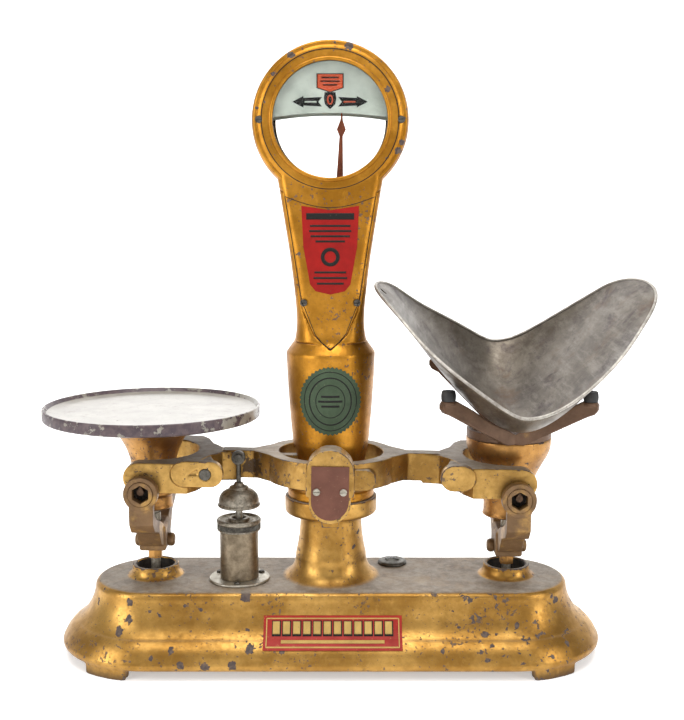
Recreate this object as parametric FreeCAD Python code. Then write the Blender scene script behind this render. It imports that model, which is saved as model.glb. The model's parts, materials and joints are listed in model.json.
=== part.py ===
import FreeCAD
import Part
import math
import os

from FreeCAD import Vector

os.makedirs("parts", exist_ok=True)

# ---- Driving dimensions, in millimetres ------------------------------------------------------
# The column stands on Z. The beam runs along X, and the dial faces -Y.

HALF_SPAN = 152.4          # fulcrum to end pivot: a 12 in beam
FULCRUM_Z = 158.0          # knife edge of the beam above the table
BEAM_TILT = 1.0            # resting tilt of the beam, right side down, degrees
POINTER_SET = 0.8          # extra angle at which the pointer is clamped to the beam, degrees

BASE_TOP_Z = 65.0
BASE_WALL = 5.0
COLLAR_TOP_Z = 75.5
COLLAR_R = 20.0
COLLAR_HOLE_R = 16.5
BADGE_THICKNESS = 0.9

FLANGE_Z = 122.0           # underside of the column's top flange
FLANGE_TOP_Z = 136.5
FLANGE_R = 39.5
TOWER_FOOT_R = 37.0

CUP_RIM_Z = 262.0
NECK_FOOT_Z = 271.0
HEAD_Z = 452.0             # middle of the dial
HEAD_R = 64.3
HEAD_HALF_DEPTH = 24.0
GLASS_OPENING_R = 46.3
HOUSING_WALL = 4.0

RING_IN_R = 44.5
RING_OUT_R = 56.0
BEAM_TOP_Z = 175.0
BEAM_BOTTOM_Z = 151.0
ARM_HALF_WIDTH = 7.0
PRONG_IN = 43.0            # inner faces of the end forks from the middle plane
PRONG_OUT = 57.0           # their outer faces
CROTCH = 38.0              # reach of a fork's gap from its pivot line towards the column
PLUG_R = 4.6               # plug of the balancing cavity in the left lug
PLUG_X = -101.5
PLUG_Z = 165.7
LUG_R = 10.7               # half height of the oval lug on each front prong
LUG_Z = 165.8
LUG_LEFT = (87.0, 129.5)   # reach of the left lug from the fulcrum
LUG_RIGHT = (89.5, 118.0)  # reach of the right lug
PIN_HALF = 2.9             # half width of an end knife edge
PIN_HEIGHT = 8.5

EYE_R = 14.0               # yoke eye
EYE_Y = (60.0, 69.0)       # inner and outer face of a yoke eye from the middle plane
HEX_FLAT = 13.0            # across the flats of a bearing bush's hole
BUSH_R = 10.0
PIVOT_GAP = 0.35           # clearance over a knife edge
STEM_R = 4.0
STEM_COLLAR_R = 5.2
CROSS_BOLT_R = 2.6
CROSS_BOLT_Z = 93.5

PLATE_Z = 212.0            # top of the plate's rim when the beam is level
PLATE_R = 92.0
PLATE_HUB_R = 40.0         # skirt under the plate that caps its support
CHECK_Z = 36.0             # check link, parallel to the beam
CHECK_PIN_R = 2.6
CHECK_EYE_R = 3.3          # eye of a check stem, loose on its pin

DASHPOT_X = -78.5
DASHPOT_Y = -12.5
STUD_Z = 170.0

SCOOP_REACH = 120.0        # hub to the scoop's right-hand end
SCOOP_TIP = 115.5          # hub to its pointed left-hand end
SCOOP_HALF_WIDTH = 98.0

PARTS = {}


# ---- Shape helpers ------------------------------------------------------------------------

def box(x0, x1, y0, y1, z0, z1):
    return Part.makeBox(x1 - x0, y1 - y0, z1 - z0, Vector(x0, y0, z0))


def rod(radius, start, end):
    """A round bar from one point to another."""
    a = Vector(*start)
    run = Vector(*end) - a
    return Part.makeCylinder(radius, run.Length, a, run)


def tube(r_out, r_in, start, end):
    return rod(r_out, start, end).cut(rod(r_in, start, end))


def polygon(points):
    return Part.makePolygon([Vector(*p) for p in points + [points[0]]])


def prism_y(outline, y0, y1):
    """Extrude an (x, z) outline from y0 to y1."""
    face = Part.Face(polygon([(x, y0, z) for x, z in outline]))
    return face.extrude(Vector(0, y1 - y0, 0))


def prism_z(outline, z0, z1):
    """Extrude an (x, y) outline from z0 to z1."""
    face = Part.Face(polygon([(x, y, z0) for x, y in outline]))
    return face.extrude(Vector(0, 0, z1 - z0))


def lathe(profile, x=0.0, y=0.0, sweep=360.0):
    """Turn an (r, z) outline about a vertical axis. A point of three numbers, (r, z, 'arc'),
    is the middle of an arc from the point before it to the point after it."""
    edges = []
    last = Vector(profile[0][0], 0, profile[0][1])
    middle = None
    for point in profile[1:] + [profile[0]]:
        here = Vector(point[0], 0, point[1])
        if len(point) == 3:
            middle = here
            continue
        if middle is not None:
            edges.append(Part.Arc(last, middle, here).toShape())
            middle = None
        elif (here - last).Length > 1e-6:
            edges.append(Part.LineSegment(last, here).toShape())
        last = here
    face = Part.Face(Part.Wire(edges))
    solid = face.revolve(Vector(0, 0, 0), Vector(0, 0, 1), sweep)
    solid.translate(Vector(x, y, 0))
    return solid


def union(shapes):
    whole = shapes[0]
    for shape in shapes[1:]:
        whole = whole.fuse(shape)
    return whole.removeSplitter()


def cut_all(shape, tools):
    for tool in tools:
        shape = shape.cut(tool)
    return shape


def mirror_y(shape):
    return shape.mirror(Vector(0, 0, 0), Vector(0, 1, 0))


def mirror_x(shape):
    return shape.mirror(Vector(0, 0, 0), Vector(1, 0, 0))


def both_faces(shape):
    return [shape, mirror_y(shape)]


def group(shapes):
    return Part.makeCompound(shapes)


def tilted(shape, z=FULCRUM_Z, angle=BEAM_TILT):
    """Turn a shape about the Y axis through height z. A positive angle lowers the right side."""
    turned = shape.copy()
    turned.rotate(Vector(0, 0, z), Vector(0, 1, 0), angle)
    return turned


def slotted_screw(x, y, z, head_r, head_h, shank_r, shank_l):
    """A round-head screw seen from -Y: its head is proud of the face at y."""
    head = rod(head_r, (x, y, z), (x, y - head_h, z))
    slot = box(x - head_r, x + head_r, y - head_h, y - head_h * 0.5, z - 0.35, z + 0.35)
    shank = rod(shank_r, (x, y, z), (x, y + shank_l, z))
    return head.cut(slot).fuse(shank).removeSplitter()


def hexagon(x, z, flat, rise=0.0):
    """The corners of a hexagon with one corner at the top."""
    radius = flat / math.sqrt(3)
    angles = [math.radians(90 + 60 * i) for i in range(6)]
    return [(x + radius * math.cos(a), z + rise + radius * math.sin(a)) for a in angles]


# ---- Base ---------------------------------------------------------------------------------

SKIRT = [(44.0, BASE_TOP_Z), (49.6, 63.2, "arc"), (51.6, 58.0), (55.5, 45.0, "arc"),
         (65.5, 31.5), (74.0, 24.5, "arc"), (79.0, 16.5), (80.2, 12.0, "arc"), (77.0, 8.0)]


def stadium(profile):
    """A long body with half-round ends: the profile turned at each end and run between them."""
    outline = [(0.0, profile[0][1])] + profile + [(0.0, profile[-1][1])]
    right = lathe(outline, sweep=180.0)
    right.rotate(Vector(0, 0, 0), Vector(0, 0, 1), -90)
    right.translate(Vector(HALF_SPAN, 0, 0))
    left = mirror_x(right)
    half = [f for f in right.Faces if abs(f.CenterOfMass.x - HALF_SPAN) < 1e-6
            and abs(f.normalAt(0, 0).x) > 0.99]
    middles = [f.extrude(Vector(-2 * HALF_SPAN, 0, 0)) for f in half]
    return union([right, left] + middles)


def inner_profile(profile, wall, z_top, z_bottom):
    inset = [(p[0] - wall, p[1]) + p[2:] for p in profile]
    inset[0] = (inset[0][0], z_top)
    lowered = [inset[0]] + [(p[0], p[1] - wall * 0.45) + p[2:] for p in inset[1:-1]]
    lowered.append((profile[-1][0] - wall * 0.9, z_bottom))
    return lowered


def base_foot(x_side, y_side):
    """A short foot under the skirt's rim, near a corner."""
    start, end = math.radians(50), math.radians(79)
    steps = [start + (end - start) * i / 6 for i in range(7)]
    outer = [(HALF_SPAN + 78.5 * math.cos(a), 78.5 * math.sin(a)) for a in steps]
    inner = [(HALF_SPAN + 67.0 * math.cos(a), 67.0 * math.sin(a)) for a in reversed(steps)]
    foot = prism_z([(x_side * x, y_side * y) for x, y in outer + inner], 0.0, 14.0)
    return foot


def bearing_post():
    """Arm and post that carry the front fulcrum bearing, cast with the column flange."""
    arm = box(-7.0, 7.0, -61.0, -20.0, FLANGE_Z + 2, FLANGE_TOP_Z - 0.5)
    post = box(-6.5, 6.5, -61.0, -53.0, FLANGE_Z + 2, FULCRUM_Z - 6.0)
    return arm.fuse(post)


def base_casting():
    shell = stadium(SKIRT)
    hollow = stadium(inner_profile(SKIRT, BASE_WALL, BASE_TOP_Z - BASE_WALL, 7.0))
    inner_top = BASE_TOP_Z - BASE_WALL
    column = lathe([(0, inner_top), (43, inner_top), (43, BASE_TOP_Z), (33.6, 72.5, "arc"), (30.6, 84.5),
                    (27.6, 100, "arc"), (26.4, 117), (28.0, FLANGE_Z), (FLANGE_R - 1.5, FLANGE_Z),
                    (FLANGE_R, FLANGE_Z + 2), (FLANGE_R, FLANGE_TOP_Z), (0, FLANGE_TOP_Z)])
    collar = lathe([(0, 60), (25.5, 60), (25.5, BASE_TOP_Z), (21.2, 68.5, "arc"),
                    (COLLAR_R, COLLAR_TOP_Z), (0, COLLAR_TOP_Z)], x=HALF_SPAN)
    feet = [base_foot(sx, sy) for sx in (-1, 1) for sy in (-1, 1)]
    solid = shell.cut(hollow)
    solid = union([solid, column, collar, mirror_x(collar)] + both_faces(bearing_post()))
    solid = cut_all(solid, [rod(18.0, (0, 0, 50), (0, 0, 140))])
    for side in (-1, 1):
        x = side * HALF_SPAN
        solid = solid.cut(rod(COLLAR_HOLE_R, (x, 0, 50), (x, 0, 80)))
    for foot in feet:
        solid = solid.fuse(foot)
    solid = solid.cut(rod(11.0, (DASHPOT_X, DASHPOT_Y, 50), (DASHPOT_X, DASHPOT_Y, 70)))
    solid = solid.cut(rod(9.0, (54.5, 30.0, 50), (54.5, 30.0, 70)))
    PARTS["base_casting"] = solid.removeSplitter()


def base_plate():
    """Thin badge that follows the curve of the skirt's front."""
    slab = box(-55.0, 59.0, -90.0, -46.0, 25.0, 47.5)
    skin = stadium(SKIRT).common(slab)
    skin.translate(Vector(0, -BADGE_THICKNESS, 0))
    PARTS["badge_plate"] = skin.cut(stadium(SKIRT))


def level_vial():
    """Bull's-eye level set in the base behind the column."""
    x, y = 54.5, 30.0
    PARTS["level_housing"] = lathe([(0, 58), (8.9, 58), (8.9, BASE_TOP_Z), (12.8, BASE_TOP_Z),
                                    (12.4, 67.2, "arc"), (10.8, 68.2), (6.6, 68.2), (6.2, 66.0),
                                    (0, 66.0)], x, y)
    PARTS["level_glass"] = lathe([(0, 66.0), (6.2, 66.0), (6.6, 68.2), (5.0, 69.3), (2.6, 69.9), (0, 70.1)], x, y)


# ---- Tower --------------------------------------------------------------------------------

NECK_SECTIONS = [(NECK_FOOT_Z, 30.2, 30.2, 22.0), (280.0, 28.6, 27.0, 17.0), (311.0, 29.6, 25.0, 12.0),
                 (340.0, 33.0, 24.5, 11.0), (370.0, 37.6, 24.0, 10.0), (399.0, 42.2, 23.5, 9.0),
                 (418.0, 46.0, 23.0, 9.0)]


def rounded_section(z, half_x, half_y, corner):
    """A rounded rectangle at height z, as one closed wire."""
    edges = []
    ends = []
    for quarter in range(4):
        sx = (1, -1, -1, 1)[quarter]
        sy = (1, 1, -1, -1)[quarter]
        centre = Vector(sx * (half_x - corner), sy * (half_y - corner), z)
        angles = [math.radians(90 * quarter + a) for a in (0, 45, 90)]
        points = [centre + Vector(corner * math.cos(a), corner * math.sin(a), 0) for a in angles]
        ends.append((points[0], points[2]))
        edges.append(Part.Arc(*points).toShape())
    lines = []
    for quarter in range(4):
        start = ends[quarter][1]
        end = ends[(quarter + 1) % 4][0]
        lines.append(Part.LineSegment(start, end).toShape())
    ordered = [edge for pair in zip(edges, lines) for edge in pair]
    return Part.Wire(ordered)


def neck(inset, z_shift=0.0):
    wires = [rounded_section(z + z_shift, hx - inset, hy - inset, max(corner - inset, 3.0))
             for z, hx, hy, corner in NECK_SECTIONS]
    return Part.makeLoft(wires, True, False)


def disc_y(radius, y0, y1, z=HEAD_Z):
    return rod(radius, (0, y0, z), (0, y1, z))


def head_body():
    """The round head with rolled edges, turned about the dial's axis."""
    depth = HEAD_HALF_DEPTH
    half = [(0, 0), (HEAD_R - 1.5, 0), (HEAD_R, 6.0, "arc"), (HEAD_R - 2.0, depth - 7.0),
            (HEAD_R - 5.0, depth - 2.2, "arc"), (HEAD_R - 10.0, depth), (0, depth)]
    turned = lathe(half)
    whole = union([turned, turned.mirror(Vector(0, 0, 0), Vector(0, 0, 1))])
    whole.rotate(Vector(0, 0, 0), Vector(1, 0, 0), 90)
    whole.translate(Vector(0, 0, HEAD_Z))
    return whole


def cup(inset):
    """The round lower part of the tower, from its foot to the shoulder under the neck."""
    foot = TOWER_FOOT_R - inset
    profile = [(0, FLANGE_TOP_Z), (foot, FLANGE_TOP_Z), (foot, 144.0), (27.8 - inset, 148.5),
               (28.9 - inset, 166.0), (32.3 - inset, 183.0), (35.6 - inset, 222, "arc"),
               (37.6 - inset, CUP_RIM_Z - 1.5), (36.6 - inset, CUP_RIM_Z), (30.2 - inset, NECK_FOOT_Z),
               (0, NECK_FOOT_Z)]
    return lathe(profile)


def panel_outline():
    """The neck panel below the dial, down to its point."""
    right = [(38.5, 400.0), (38.5, 393.0), (24.6, 306.0), (23.0, 298.0), (13.5, 277.5)]
    left = [(-x, z) for x, z in reversed(right)]
    return right + [(0.0, 265.5)] + left


def cover_tool():
    """The space that the front cover fills: a disc over the dial and a skin over the neck."""
    panel = prism_y(panel_outline(), -40.0, -21.0)
    return disc_y(HEAD_R + 5, -40.0, -13.0).fuse(panel)


def tower_parts():
    outer = union([cup(0.0), neck(0.0), head_body()])
    bore = lathe([(0, FLANGE_TOP_Z - 1), (22.0, FLANGE_TOP_Z - 1), (22.0, 150.0), (24.5, 166.0),
                  (28.0, 183.0), (33.0, CUP_RIM_Z - 6), (25.5, NECK_FOOT_Z), (0, NECK_FOOT_Z)])
    well = disc_y(HEAD_R - 8, -20.5, 20.5)
    cavity = union([bore, neck(HOUSING_WALL + 0.6), well])
    window = disc_y(GLASS_OPENING_R, -40, 40)
    shell = cut_all(outer, [cavity, window])

    front_space = cover_tool()
    front = shell.common(front_space)
    housing = cut_all(shell, both_faces(front_space))
    slot = box(-40.0, -20.0, -9.0, 9.0, 154.5, 180.0)
    housing = housing.cut(slot)
    seats = [disc_y(49.0, -22.6, -19.0), disc_y(HEAD_R - 8, -20.5, -13.0)]
    front = cut_all(front, seats)
    holes = cover_screw_shanks(2.0)
    seats = [rod(3.1, (x, y, z), (x, -40.0, z)) for x, y, z in COVER_SCREWS]
    front = cut_all(front, holes + seats)
    housing = cut_all(housing, holes + [mirror_y(h) for h in holes])
    PARTS["tower_housing"] = housing.removeSplitter()
    PARTS["front_cover"] = front.removeSplitter()
    PARTS["rear_cover"] = mirror_y(front.removeSplitter())


COVER_SCREWS = [(-57.5, -22.6, HEAD_Z), (57.5, -22.6, HEAD_Z), (-22.0, -25.2, 304.0), (22.0, -25.2, 304.0)]


def cover_screw_shanks(radius):
    return [rod(radius, (x, -30.0, z), (x, -9.0, z)) for x, _, z in COVER_SCREWS]


def dial_parts():
    PARTS["front_glass"] = disc_y(48.8, -22.5, -20.6)
    PARTS["rear_glass"] = mirror_y(PARTS["front_glass"])
    ring = disc_y(48.8, -20.5, -18.9).cut(disc_y(46.4, -21, -18))
    PARTS["front_glass_ring"] = ring
    PARTS["rear_glass_ring"] = mirror_y(ring)
    sweep_r = 299.5
    below = rod(sweep_r, (0, -40, FULCRUM_Z), (0, 40, FULCRUM_Z))
    chart = disc_y(48.8, -18.8, -17.8).cut(below)
    PARTS["front_chart"] = chart
    PARTS["rear_chart"] = mirror_y(chart)
    screws = [slotted_screw(x, y, z, 2.9, 1.6, 2.0, -y - 9.5) for x, y, z in COVER_SCREWS]
    PARTS["front_cover_screws"] = group(screws)
    PARTS["rear_cover_screws"] = group([mirror_y(s) for s in screws])


def tower_labels():
    """The painted shield on the neck panel and the round seal on the cup, as thin plates."""
    shield = [(-23.5, 383.0), (0.0, 379.5), (23.5, 383.0), (22.0, 350.0), (16.5, 319.0), (12.0, 313.5),
              (0.0, 310.8), (-12.0, 313.5), (-16.5, 319.0), (-22.0, 350.0)]
    grown = neck(-0.4).cut(neck(0.0))
    label = grown.common(prism_y(shield, -40.0, -5.0))
    PARTS["neck_label"] = label
    teeth = 44
    rim = []
    for i in range(2 * teeth):
        angle = math.pi * i / teeth
        scale = 1.0 if i % 2 else 0.95
        rim.append((25.8 * scale * math.cos(angle), 223.5 + 29.2 * scale * math.sin(angle)))
    PARTS["tower_seal"] = cup(-0.4).cut(cup(0.0)).common(prism_y(rim, -45.0, -5.0))


# ---- Fulcrum ------------------------------------------------------------------------------

def knife(half, height, z_edge, y0, y1, x=0.0, up=False):
    """A knife-edge bar along Y with a round back and a sharp edge at z_edge."""
    sign = 1.0 if up else -1.0
    back = height - half
    centre_z = z_edge - sign * back
    angles = [math.radians(a) for a in range(-20, 201, 20)]
    outline = [(x + half * math.cos(a), centre_z - sign * half * math.sin(a)) for a in angles]
    return prism_y(outline + [(x, z_edge)], y0, y1)


def fulcrum_bearing():
    block = box(-5.5, 5.5, -61.0, -53.0, FULCRUM_Z - 6.0, FULCRUM_Z + 2.6)
    groove = prism_y([(0, FULCRUM_Z - 0.25), (6.5, FULCRUM_Z + 4.5), (-6.5, FULCRUM_Z + 4.5)], -62, -52)
    return block.cut(groove)


def fulcrum_parts():
    bearing = fulcrum_bearing()
    PARTS["front_fulcrum_bearing"] = bearing
    PARTS["rear_fulcrum_bearing"] = mirror_y(bearing)
    pivot = knife(3.4, 10.0, FULCRUM_Z, -66.0, -46.0)
    PARTS["fulcrum_pivots"] = group([tilted(s) for s in both_faces(pivot)])
    plate_outline = arch(15.2, 176.5, 147.5, -1)
    plate = prism_y(plate_outline, -70.2, -68.0)
    PARTS["front_pivot_cover"] = tilted(plate)
    PARTS["rear_pivot_cover"] = tilted(mirror_y(plate))
    screws = [slotted_screw(x, -70.2, 156.0, 2.9, 1.4, 1.5, 4.4) for x in (-10.8, 10.8)]
    for node in ("front_pivot_cover", "rear_pivot_cover"):
        side = 1 if node.startswith("front") else -1
        for x in (-10.8, 10.8):
            hole = rod(1.5, (x, side * -75.0, 156.0), (x, side * -65.0, 156.0))
            PARTS[node] = PARTS[node].cut(tilted(hole))
    PARTS["pivot_cover_screws"] = group([tilted(s) for screw in screws for s in both_faces(screw)])


def arch(half, z_flat, z_round, direction):
    """An (x, z) outline: flat at z_flat, and a half-round end centred at z_round."""
    angles = [math.pi * i / 14 for i in range(15)]
    curve = [(half * math.cos(a), z_round + direction * half * math.sin(a)) for a in angles]
    return [(half, z_flat)] + curve + [(-half, z_flat)]


# ---- Beam ---------------------------------------------------------------------------------

def fork_outline():
    """Plan of the right-hand fork: a crotch at the arm's end and two straight prongs."""
    centre = HALF_SPAN - 1.0
    angles = [math.radians(90 + 180 * i / 20) for i in range(21)]
    inside = [(centre + CROTCH * math.cos(a), PRONG_IN * math.sin(a)) for a in angles]
    tip = HALF_SPAN + 17.0
    outer = [(tip, -PRONG_OUT), (HALF_SPAN - 36.0, -PRONG_OUT), (HALF_SPAN - 43.0, -46.0),
             (HALF_SPAN - 49.0, -26.0), (HALF_SPAN - 60.0, -9.5), (HALF_SPAN - 74.0, -ARM_HALF_WIDTH)]
    upper = [(x, -y) for x, y in reversed(outer)]
    return [(tip, PRONG_IN)] + inside + [(tip, -PRONG_IN)] + outer + upper


def lug(reach):
    """Oval pad on the face of a front prong."""
    quarter = [math.radians(90 + 180 * i / 12) for i in range(13)]
    start, end = reach[0] + LUG_R, reach[1] - LUG_R
    inner = [(start + LUG_R * math.cos(a), LUG_Z + LUG_R * math.sin(a)) for a in quarter]
    outer = [(end - LUG_R * math.cos(a), LUG_Z - LUG_R * math.sin(a)) for a in quarter]
    return prism_y(inner + outer, -PRONG_OUT - 2.0, -PRONG_OUT + 7.0)


def beam_fork(lug_reach):
    solid = prism_z(fork_outline(), BEAM_BOTTOM_Z - 2.0, BEAM_TOP_Z - 1.0)
    nose_x = HALF_SPAN + 3.5
    nose_z = (BEAM_TOP_Z + BEAM_BOTTOM_Z) / 2 - 1.5
    nose_r = (BEAM_TOP_Z - BEAM_BOTTOM_Z + 1) / 2
    tip = box(nose_x, HALF_SPAN + 40, -70, 70, 100, 200)
    nose = rod(nose_r, (nose_x, -70, nose_z), (nose_x, 70, nose_z))
    solid = solid.cut(tip.cut(nose))
    web = prism_z([(93.0, -PRONG_OUT + 6), (120.0, -PRONG_OUT + 6), (112.0, -24.0), (101.0, -20.0)], 156.0, 173.0)
    return union([solid, lug(lug_reach), web.cut(solid)])


def end_knife(x):
    outline_y = (PRONG_IN + 3.0, EYE_Y[1] - 1.5)
    return knife(PIN_HALF, PIN_HEIGHT, FULCRUM_Z, outline_y[0], outline_y[1], x=x, up=True)


def ring_boss():
    """Domed boss on the front of the ring, with a pocket that is open below and behind."""
    dome = prism_y(arch(19.4, 151.0, 170.2, 1), -68.0, -46.0)
    apron = prism_y(arch(16.8, 152.0, 145.5, -1), -68.0, -57.0)
    return dome.fuse(apron)


def beam_casting():
    arm = box(RING_OUT_R - 6, HALF_SPAN - 60, -ARM_HALF_WIDTH, ARM_HALF_WIDTH, BEAM_BOTTOM_Z, BEAM_TOP_Z)
    ring = tube(RING_OUT_R, RING_IN_R, (0, 0, BEAM_BOTTOM_Z + 1), (0, 0, BEAM_TOP_Z))
    gusset = prism_z([(48, -26), (66, -ARM_HALF_WIDTH), (66, ARM_HALF_WIDTH), (48, 26)],
                     BEAM_BOTTOM_Z + 1, BEAM_TOP_Z)
    gusset = gusset.cut(rod(RING_IN_R, (0, 0, 140), (0, 0, 190)))
    right = union([arm, gusset, beam_fork(LUG_RIGHT)])
    left = mirror_x(union([arm, gusset, beam_fork(LUG_LEFT)]))
    pointer_arm = box(-46.0, 5.0, -5.0, 5.0, 161.0, 171.0)
    pad = rod(8.5, (28.7, -55.0, 162.0), (28.7, -42.0, 162.0)).fuse(box(17.0, 28.7, -55.0, -42.0, 153.5, 170.5))
    pad = pad.cut(rod(RING_IN_R, (0, 0, 140), (0, 0, 190)))
    whole = union([ring, left, right, pointer_arm, pad] + both_faces(ring_boss()))
    pockets = both_faces(box(-12.0, 12.0, -63.8, -49.2, 110.0, 169.0))
    lower = both_faces(box(-12.0, 12.0, -58.0, -40.0, 110.0, 150.0))
    whole = cut_all(whole, pockets + lower)
    pivot = knife(3.4, 10.0, FULCRUM_Z, -66.0, -46.0)
    knives = [end_knife(side * HALF_SPAN) for side in (-1, 1)]
    pins = [s for k in knives for s in both_faces(k)]
    recess = prism_y([(-117.0, 164.5), (-107.0, 171.5), (-107.5, 165.0)], -PRONG_OUT - 2.0, -PRONG_OUT - 0.8)
    plug_front = -PRONG_OUT - 2.7
    plug = rod(PLUG_R, (PLUG_X, plug_front, PLUG_Z), (PLUG_X, -PRONG_OUT + 4, PLUG_Z))
    stud_hole = rod(2.0, (DASHPOT_X, -12, STUD_Z), (DASHPOT_X, 12, STUD_Z))
    screw_holes = [rod(1.5, (x, s * -72.0, 156.0), (x, s * -65.8, 156.0)) for x in (-10.8, 10.8) for s in (-1, 1)]
    clamp_hole = rod(1.6, (-1.0, -12.0, 166.0), (-1.0, 12.0, 166.0))
    whole = cut_all(whole, both_faces(pivot) + pins + [plug, recess, stud_hole, clamp_hole] + screw_holes)
    PARTS["beam_casting"] = tilted(whole.removeSplitter())
    PARTS["end_pivots"] = group([tilted(p) for p in pins])
    PARTS["sealing_plug"] = tilted(plug)
    stud = rod(2.0, (DASHPOT_X, -15.6, STUD_Z), (DASHPOT_X, 7.0, STUD_Z))
    knob = rod(3.6, (DASHPOT_X, -18.0, STUD_Z), (DASHPOT_X, -15.6, STUD_Z))
    PARTS["dashpot_stud"] = tilted(stud.fuse(knob).removeSplitter())


def pointer_parts():
    """Pointer of flat strip clamped to the beam's inner arm by a small bracket."""
    foot_z = 171.0
    bracket = box(-7.0, 5.0, -6.5, 6.5, foot_z, foot_z + 3.0)
    ears = [box(-7.0, 5.0, s * 5.0 - (1.5 if s < 0 else 0), s * 5.0 + (1.5 if s > 0 else 0),
                161.0, foot_z + 3.0) for s in (-1, 1)]
    post = box(-4.0, 2.0, -2.0, 2.0, foot_z + 3.0, foot_z + 12.0)
    bracket = union([bracket, post] + ears)
    bracket = bracket.cut(rod(1.6, (-1.0, -12.0, 166.0), (-1.0, 12.0, 166.0)))
    bracket = bracket.cut(box(-5.0, 3.0, -0.5, 0.5, foot_z + 5.0, foot_z + 14.0))
    screw = rod(1.6, (-1.0, -6.5, 166.0), (-1.0, 6.5, 166.0))
    heads = [rod(3.0, (-1.0, s * 6.5, 166.0), (-1.0, s * 8.2, 166.0)) for s in (-1, 1)]
    outline = [(-3.0, foot_z + 5.0), (3.0, foot_z + 5.0), (3.0, 400.0), (1.4, 440.0), (3.8, 445.5),
               (1.1, 453.0), (0.4, 459.0), (-0.4, 459.0), (-1.1, 453.0), (-3.8, 445.5), (-1.4, 440.0),
               (-3.0, 400.0)]
    strip = prism_y(outline, -0.5, 0.5)
    strip = tilted(strip, FULCRUM_Z, POINTER_SET)
    bracket = bracket.cut(strip)
    PARTS["pointer_bracket"] = tilted(bracket)
    PARTS["pointer_clamp_screw"] = tilted(union([screw] + heads))
    PARTS["pointer"] = tilted(strip)


# ---- Hangers ------------------------------------------------------------------------------

def hanger_offset(side):
    """How far the tilted beam carries an end pivot from its level place."""
    angle = math.radians(BEAM_TILT)
    dx = side * HALF_SPAN * (math.cos(angle) - 1)
    dz = -side * HALF_SPAN * math.sin(angle)
    return Vector(dx, 0, dz)


def place(name, shape, side):
    moved = shape.copy()
    moved.translate(hanger_offset(side))
    PARTS[name] = moved


def bush_z():
    """Middle of a bush's hole: its top corner sits just over the end pivot's edge."""
    return FULCRUM_Z + PIVOT_GAP - HEX_FLAT / math.sqrt(3)


def extrude_x(outline, x0, x1):
    """Extrude a (y, z) outline from x0 to x1."""
    face = Part.Face(polygon([(x0, y, z) for y, z in outline]))
    return face.extrude(Vector(x1 - x0, 0, 0))


def yoke():
    """U-shaped yoke: an eye and a leg at the front and rear, joined by a block below."""
    front, back = -EYE_Y[1], -EYE_Y[0]
    hub = (0, front, bush_z())
    eye = rod(EYE_R, hub, (0, back, bush_z()))
    leg_side = [(front + 1, bush_z()), (front + 1, 125.0), (-60.0, 117.0), (-38.0, 110.0), (-26.0, 96.0),
                (-13.0, 92.0), (-13.0, 111.0), (-26.0, 117.0), (-50.0, 125.0), (back, 132.0), (back, bush_z())]
    leg = eye.fuse(extrude_x(leg_side, -9.8, 9.8))
    leg = leg.cut(rod(BUSH_R, hub, (0, back, bush_z())))
    block = prism_y([(-11.5, 89.0), (-10.0, 87.5), (10.0, 87.5), (11.5, 89.0), (11.5, 108.0), (9.0, 111.0),
                     (-9.0, 111.0), (-11.5, 108.0)], -15.0, 15.0)
    whole = union([block] + both_faces(leg))
    whole = whole.cut(rod(STEM_COLLAR_R, (0, 0, 80), (0, 0, 120)))
    return whole.cut(rod(CROSS_BOLT_R, (-12, 0, CROSS_BOLT_Z), (12, 0, CROSS_BOLT_Z)))


def yoke_bush():
    z = bush_z()
    bush = rod(BUSH_R, (0, -EYE_Y[1] - 0.6, z), (0, -EYE_Y[0], z))
    return bush.cut(prism_y(hexagon(0, z, HEX_FLAT), -70, -40))


def hanger(side, name, profile):
    """One hanger: support turned on the profile, yoke, bushes, cross bolt and check stem."""
    x = side * HALF_SPAN
    shift = Vector(x, 0, 0)

    def put(node, shape):
        moved = shape.copy()
        moved.translate(shift)
        place(name + "_" + node, moved, side)

    support = lathe(profile)
    support = support.cut(rod(STEM_R, (0, 0, 120), (0, 0, 168)))
    put("support", support)
    put("yoke", yoke())
    put("bushes", group(both_faces(yoke_bush())))
    bolt = rod(CROSS_BOLT_R, (-11.5, 0, CROSS_BOLT_Z), (11.5, 0, CROSS_BOLT_Z))
    heads = [lathe([(0, 11.5), (5.8, 11.5), (5.8, 13.6), (5.0, 16.2, "arc"), (2.6, 17.2), (0, 17.2)]) for _ in range(2)]
    heads[0].rotate(Vector(0, 0, 0), Vector(0, 1, 0), 90)
    heads[1].rotate(Vector(0, 0, 0), Vector(0, 1, 0), -90)
    for head in heads:
        head.translate(Vector(0, 0, CROSS_BOLT_Z))
    put("cross_bolt", union([bolt] + heads))
    stem = union([rod(STEM_R, (0, 0, 62), (0, 0, 168)), rod(STEM_COLLAR_R, (0, 0, 86), (0, 0, 118)),
                  box(-5.0, 5.0, -2.5, 2.5, CHECK_Z - 7, 64)])
    stem = stem.cut(rod(CROSS_BOLT_R, (-20, 0, CROSS_BOLT_Z), (20, 0, CROSS_BOLT_Z)))
    stem = stem.cut(rod(CHECK_EYE_R, (0, -6, CHECK_Z), (0, 6, CHECK_Z)))
    put("check_stem", stem)
    nut = prism_z(hexagon(0, 0, 11.0), 78.0, 86.0).cut(rod(4.0, (0, 0, 70), (0, 0, 90)))
    put("lock_nut", nut)


PLATE_SUPPORT = [(0, 122.5), (15.0, 122.5), (16.2, 124.0), (15.4, 125.5), (15.4, 133.5), (18.5, 136.0), (18.5, 152.0), (21.0, 170.0, "arc"),
                 (32.0, 190.0), (36.0, 193.0), (36.0, 196.5), (0, 196.5)]
HUB_SUPPORT = [(0, 121.0), (19.5, 121.0), (21.8, 122.5), (20.6, 124.5), (20.6, 134.0), (21.0, 150.0), (25.2, 160.0, "arc"), (31.2, 171.5),
               (35.6, 182.0, "arc"), (36.2, 190.0), (0, 190.0)]


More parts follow.
